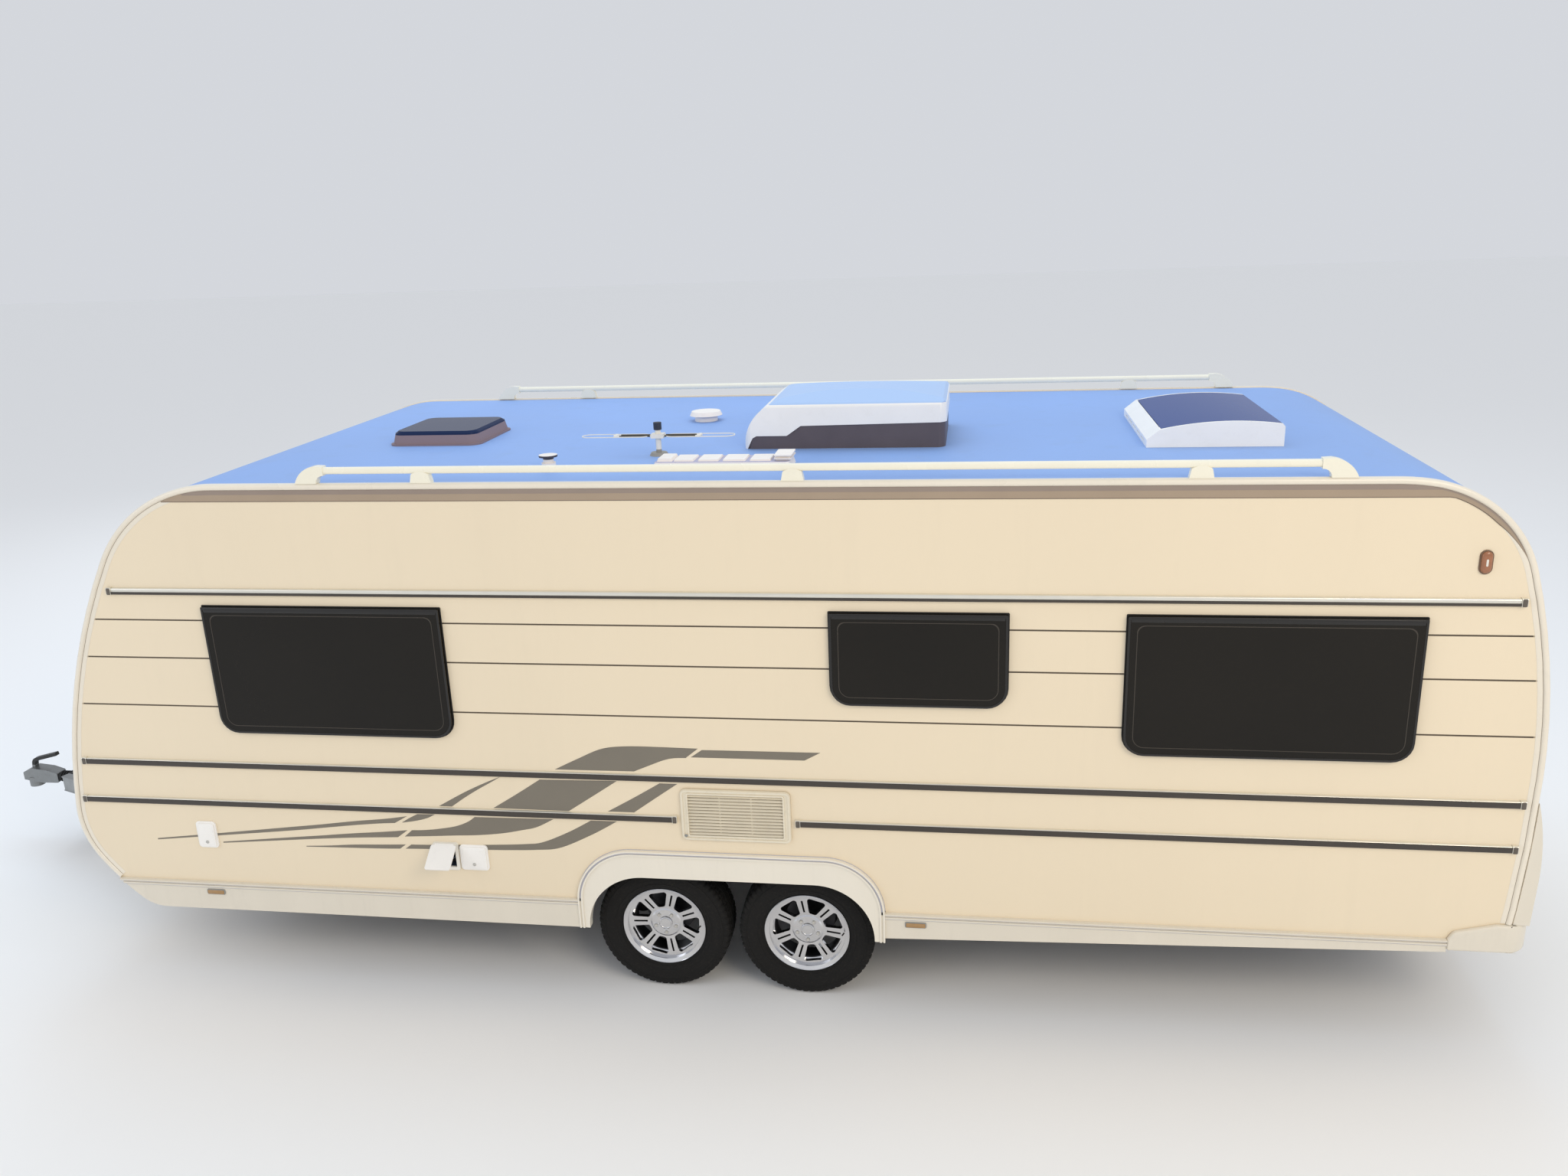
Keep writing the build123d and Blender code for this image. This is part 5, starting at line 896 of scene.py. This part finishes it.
# Sections of the dark inserts, which start and end alike; their dark lower part is partly painted shade
INSERT_SHADE_LOW = [(-0.0147, 0.0122), (-0.015, 0.013), (-0.0132, 0.0145)]
INSERT_SHADE_END = [(-0.0058, 0.0122), (-0.006, 0.0141), (-0.01, 0.0141), (-0.013, 0.0134)]
WIDE_INSERT_SHADE = INSERT_SHADE_LOW + [(-0.01, 0.0152), (0.0, 0.0155), (0.009, 0.0153), (0.0116, 0.0147),
    (0.0124, 0.0136), (0.01, 0.0141), (0.006, 0.0141), (0.0058, 0.0122)] + INSERT_SHADE_END
SLIM_INSERT_SHADE = INSERT_SHADE_LOW + [(-0.01, 0.0151), (-0.0036, 0.015), (-0.0024, 0.0142)] + INSERT_SHADE_END
for side, label in SIDES:
    for k, (front, rear, z) in enumerate(RAILS[side]):
        shape = SLIM_INSERT_SHADE if z > 2 else WIDE_INSERT_SHADE
        strip(f"rail_insert_and_shade_{label}_{k}", [(z + up, lift) for up, lift in shape], NOSE + front + 0.0221,
            NOSE + rear - 0.0221, side, "rail_dark", "bright_rail")
        for end, x in (("front", NOSE + front + 0.011), ("rear", NOSE + rear - 0.011)):
            crown(f"rail_cap_{label}_{k}_{end}", oblong(0.019, 0.032, 0.005, 4),
                [(0, 0), (0.0004, 0.001), (0.002, 0.0018)], on_side(side, 0.0168, x, z), "cap", "bright_rail")

# Shaded lines of the skirts and wheel arches
ARCH_X, ARCH_REACH, ARCH_TOP, ARCH_RADIUS, ARCH_FOOT = 0.605, 0.725, 0.787, 0.275, 0.526
SKIRT_RIDGES = (0.51, 0.494)
RIDGE = [(-0.0044, 0.0121), (-0.0044, 0.0136), (-0.0012, 0.017), (0.0, 0.0174), (0.0, 0.0121)]


def arch_path(grow):
    """Side view of the wheel arch's edge, from the front foot over the top to the rear one."""
    mid, reach, top, r = ARCH_X, ARCH_REACH + grow, ARCH_TOP + grow, ARCH_RADIUS + grow
    path = [(mid - reach, ARCH_FOOT)]
    for cx, start in ((mid - reach + r, 180), (mid + reach - r, 90)):
        for k in range(25):
            a = math.radians(start - 90 * k / 24)
            path.append((cx + r * math.cos(a), top - r + r * math.sin(a)))
    return path + [(mid + reach, ARCH_FOOT)]


plate("arch_joint", arch_path(0.0022), arch_path(-0.0002), 0.0002, 0.0011, "ridge_shade", "skirt_white")
plate("arch_groove", arch_path(-0.0086), arch_path(-0.0154), 0.0142, 0.0152, "ridge_shade", "skirt_white")
for side, label in SIDES:
    for row, z in enumerate(SKIRT_RIDGES):
        shape = [(z + up, lift) for up, lift in RIDGE]
        starts = (skin(z, False) + 0.004, ARCH_X + ARCH_REACH + 0.0002)
        ends = (ARCH_X - ARCH_REACH - 0.0002, 3.7228)
        for run, (start, end) in enumerate(zip(starts, ends)):
            strip(f"skirt_shade_{label}_{row}_{run}", shape, start, end, side, "ridge_shade", "skirt_white")

# Lamps and markers


def bean(width, height):
    """Outline maker for an upright or lying slot."""
    return oblong(width, height, min(width, height) / 2 - 0.0001, 12)


def flute(k, i, radius, offset):
    """Fine radial flutes on the face of the red ring."""
    return radius, offset + (0.0004 if k % 2 and 1 <= i <= 4 else 0.0)


LAMP_X, LAMP_Y, LAMP_Z, LAMP_LEAN = 4.0432, 1.16, 0.68, 2.29
BEZEL = [(0.056, -0.004), (0.0628, -0.004), (0.0628, 0.007), (0.0615, 0.0102), (0.059, 0.0112),
    (0.0568, 0.0104), (0.056, 0.008)]
RED_RING = [(0.0559, 0.001), (0.0556, 0.0086), (0.05, 0.0108), (0.042, 0.0118), (0.034, 0.012),
    (0.0332, 0.011), (0.033, 0.001)]
AMBER_DISC = [(0.0, 0.001), (0.0326, 0.001), (0.0322, 0.0104), (0.028, 0.012), (0.015, 0.0126), (0.0, 0.0127)]
UPPER_MARKER_X, UPPER_MARKER_Z = 3.6809, 2.19
# Upper marker: width, height, steps, material, slot and replaced node of each part
UPPER_MARKER = {
    "base": (0.05, 0.098, [(0, 0), (0, 0.005), (0.0018, 0.0066), (0.005, 0.0068)], "marker_base",
        "dark_plastic", ("lamps",)),
    "lens": (0.04, 0.088, [(0, 0.006), (0.0006, 0.011), (0.0034, 0.0145), (0.008, 0.016), (0.014, 0.0166)],
        "rose", "lamp_red", ("lamps",)),
    # The spot is a painted highlight on the lens.
    "spot": (0.009, 0.03, [(0, 0.016), (0.0008, 0.017), (0.003, 0.0174)], "clear", "lamp_red", ()),
}
SIDE_MARKERS = {"front": -1.989, "rear": 1.469}
SIDE_MARKER_Z = 0.468
BASE_STEPS = [(0, -0.001), (0, 0.0045), (0.0012, 0.0058)]
LENS_STEPS = [(0, 0.005), (0.0004, 0.0082), (0.0022, 0.0096)]
for side, label in SIDES:
    spot = (LAMP_X, side * LAMP_Y, LAMP_Z)
    lamp = {"axis": "X", "lean": LAMP_LEAN, "replaces": ("lamps",)}
    lathe(f"tail_lamp_bezel_{label}", BEZEL, spot, "plastic_grey", "dark_plastic", smooth=True, **lamp)
    lathe(f"tail_lamp_red_{label}", RED_RING, spot, "red", "lamp_red", segments=144, cut=flute, **lamp)
    lathe(f"tail_lamp_amber_{label}", AMBER_DISC, spot, "amber", "lamp_red", segments=72, closed=False,
        smooth=True, **lamp)
    for kind, (width, height, steps, mat, slot, replaced) in UPPER_MARKER.items():
        crown(f"upper_marker_{kind}_{label}", bean(width, height), steps,
            on_side(side, 0.0, UPPER_MARKER_X, UPPER_MARKER_Z), mat, slot, replaces=replaced)
    for where, x in SIDE_MARKERS.items():
        put = on_side(side, 0.012, x, SIDE_MARKER_Z)
        crown(f"side_marker_base_{where}_{label}", oblong(0.096, 0.028, 0.007, 6), BASE_STEPS, put,
            "plastic_grey", "dark_plastic", replaces=("lamps",))
        crown(f"side_marker_lens_{where}_{label}", oblong(0.088, 0.021, 0.005, 6), LENS_STEPS, put, "marker",
            "lamp_red", replaces=("lamps",))

# Locks, handles and small fittings


def lock(name, side, lift, x, z, mat="lock", body="caravan", radius=0.0085, reach=0.004, slot="galvanised"):
    """A lock barrel on a side wall, with a raised rim round its sunken face."""
    profile = [(0.0, reach * 0.55), (radius * 0.62, reach * 0.55), (radius * 0.7, reach),
        (radius * 0.92, reach), (radius, reach * 0.7), (radius, 0.0), (0.0, 0.0)]
    lathe(name, profile, (x, side * (HALF + lift), z), mat, slot, body, segments=32, sign=side, closed=False,
        smooth=True)


# Service covers: tag, front from the nose, width, lower and upper edge
COVERS = (("filler", 1.984, 0.139, 0.649, 0.781), ("small", 0.633, 0.103, 0.711, 0.851))
for tag, front, width, low, high in COVERS:
    cx, cz = NOSE + front + width / 2, (low + high) / 2
    lock(f"cover_lock_{tag}", -1, 0.0138, cx, low + 0.034)
    crown(f"cover_panel_{tag}", oblong(width - 0.03, high - low - 0.03, 0.01, 6),
        [(0, 0), (0.001, 0.0012), (0.0045, 0.0018)], on_side(-1, 0.0138, cx, cz), "plastic_white",
        "skirt_white")
lock("grille_lock", -1, 0.0168, NOSE + 3.096, 0.881, "plastic_grey", radius=0.0075, reach=0.003,
    slot="grille_grey")

# Entry door
DOOR_LOW, DOOR_HEAD = 0.52, 2.29
DOOR_MIDDLE, GRIP_X = DOOR_X + DOOR_WIDTH / 2, DOOR_REAR - 0.062
door_ring = oblong(DOOR_WIDTH, DOOR_HEAD - DOOR_LOW, 0.09, 10)
put = on_side(1, 0.0, DOOR_MIDDLE, (DOOR_LOW + DOOR_HEAD) / 2)
band("door_frame", door_ring(-0.02), door_ring(0.0005), put, 0.003, "trim", "trim_taupe", bevel=0.001)
band("door_seal", door_ring(0.0075), door_ring(0.0125), put, 0.0012, "rubber", "dark_plastic", "door",
    bevel=0.0004)
window_ring = oblong(0.39, 0.62, 0.055, 8)
put = on_side(1, 0.0138, DOOR_MIDDLE, 1.615)
band("door_pane_rim", window_ring(-0.0006), window_ring(0.008), put, 0.0014, "pane_lip", "dark_acrylic",
    "door", bevel=0.0005)
# A lighter ring inside the pane: the inner frame, with a painted highlight.
band("door_pane_line", window_ring(0.028), window_ring(0.0312), put, 0.0012, "pane_frame_highlight", "dark_acrylic",
    "door", bevel=0.0004)
crown("door_grip", oblong(0.056, 0.134, 0.013, 8), [(0, 0), (0, 0.015), (0.002, 0.018), (0.006, 0.0192)],
    on_side(1, 0.0, GRIP_X, 1.11), "plastic_dark", "dark_plastic", "door")
crown("door_grip_flap", oblong(0.038, 0.078, 0.009, 8), [(0, 0.0186), (0.0005, 0.0202), (0.003, 0.0208)],
    on_side(1, 0.0, GRIP_X, 1.128), "plastic_grey", "dark_plastic", "door")
lock("door_lock", 1, 0.019, GRIP_X, 1.064, body="door", reach=0.0025)

# Cassette hatch, button of the inlet lid and gas locker lid
HATCH_X, HATCH_Z = 2.172, 0.735
hatch_ring = oblong(0.36, 0.31, 0.022, 8)
put = on_side(1, 0.0, HATCH_X, HATCH_Z)
band("hatch_frame", hatch_ring(-0.018), hatch_ring(0.0005), put, 0.003, "trim", "trim_taupe", bevel=0.001)
band("hatch_line", hatch_ring(0.017), hatch_ring(0.02), put, 0.0008, "joint", "body_white", "cassette_hatch")
lock("hatch_lock", 1, 0.0078, HATCH_X, HATCH_Z - 0.115, body="cassette_hatch", radius=0.0135)
lock("inlet_lid_button", -1, 0.0102, -0.753, 0.6555, "plastic_grey", radius=0.005, reach=0.0015,
    slot="dark_plastic")

LOCKER_Z, LOCK_Z = 0.78, 0.855
LOCKER_LOCK = [(0.0, -0.0045), (0.006, -0.0045), (0.007, -0.0075), (0.0095, -0.0075), (0.0105, -0.006),
    (0.0105, 0.002), (0.0, 0.002)]
lid_ring = oblong(1.28, 0.44, 0.006, 3)
end_band("locker_seal", lid_ring(-0.01), lid_ring(0.0005), on_end(False, -0.0005, 0.0, LOCKER_Z), 0.0035,
    "rubber", "dark_plastic")
for side, label in SIDES:
    lathe(f"locker_lock_{label}", LOCKER_LOCK, (skin(LOCK_Z, False), side * 0.38, LOCK_Z), "lock",
        "galvanised", "gas_locker_lid", segments=32, axis="X", closed=False, smooth=True)


# Stage and light


def stage_plane():
    """A pale floor below the caravan."""
    mesh = bpy.data.meshes.new("floor")
    size = 60.0
    mesh.from_pydata([(-size, -size, 0), (size, -size, 0), (size, size, 0), (-size, size, 0)], [],
        [(0, 1, 2, 3)])
    floor = bpy.data.objects.new("floor", mesh)
    scene.collection.objects.link(floor)
    mat = bpy.data.materials.new("floor_pale")
    mat.use_nodes = True
    shader = mat.node_tree.nodes["Principled BSDF"]
    shader.inputs["Base Color"].default_value = (0.9, 0.89, 0.88, 1)
    shader.inputs["Roughness"].default_value = 0.9
    mesh.materials.append(mat)
    floor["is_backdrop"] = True


def make_world():
    """Soft light from all round, with a darker grey where the camera or a reflection sees the sky."""
    world = bpy.data.worlds.new("world")
    scene.world = world
    world.use_nodes = True
    tree = world.node_tree
    add = adder(tree)
    light = tree.nodes["Background"]
    light.inputs["Color"].default_value = (0.9, 0.94, 1.0, 1)
    light.inputs["Strength"].default_value = 0.8
    sky = add("Background", Color=(0.66, 0.68, 0.72, 1), Strength=1.0)
    rays = add("LightPath").outputs
    seen = add("Math", {0: rays["Is Camera Ray"], 1: rays["Is Glossy Ray"]}, "MAXIMUM")
    mixer = add("MixShader", {0: seen.outputs[0], 1: light.outputs[0], 2: sky.outputs[0]})
    tree.links.new(mixer.outputs[0], tree.nodes["World Output"].inputs["Surface"])


def area_light(name, place, target, size, power, colour, glossy=True):
    """A rectangular lamp that points at a target."""
    data = bpy.data.lights.new(name, "AREA")
    data.shape = "RECTANGLE"
    data.size, data.size_y = size
    data.energy = power
    data.color = colour
    light = bpy.data.objects.new(name, data)
    light.location = place
    light.rotation_mode = "QUATERNION"
    light.visible_glossy = glossy
    light.rotation_quaternion = (Vector(target) - Vector(place)).to_track_quat("-Z", "Y")
    scene.collection.objects.link(light)


stage_plane()
make_world()
area_light("key", (7.5, -8.5, 7.5), (0.5, 0, 1.0), (5, 4), 370, (1.0, 0.89, 0.72))
area_light("fill", (-8.5, -6.5, 5.5), (-0.5, 0, 1.2), (6, 4), 150, (0.9, 0.94, 1.0))
area_light("top", (0.5, 2.5, 9.0), (0.3, 0, 2.0), (9, 5), 230, (0.5, 0.74, 1.0), glossy=False)
area_light("back", (-3.0, 10.0, 5.5), (0, 0, 1.2), (8, 4), 200, (0.92, 0.96, 1.0), glossy=False)

low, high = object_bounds()
{"cad": [list(cad_low), list(cad_high)], "visual": [list(low), list(high)]}
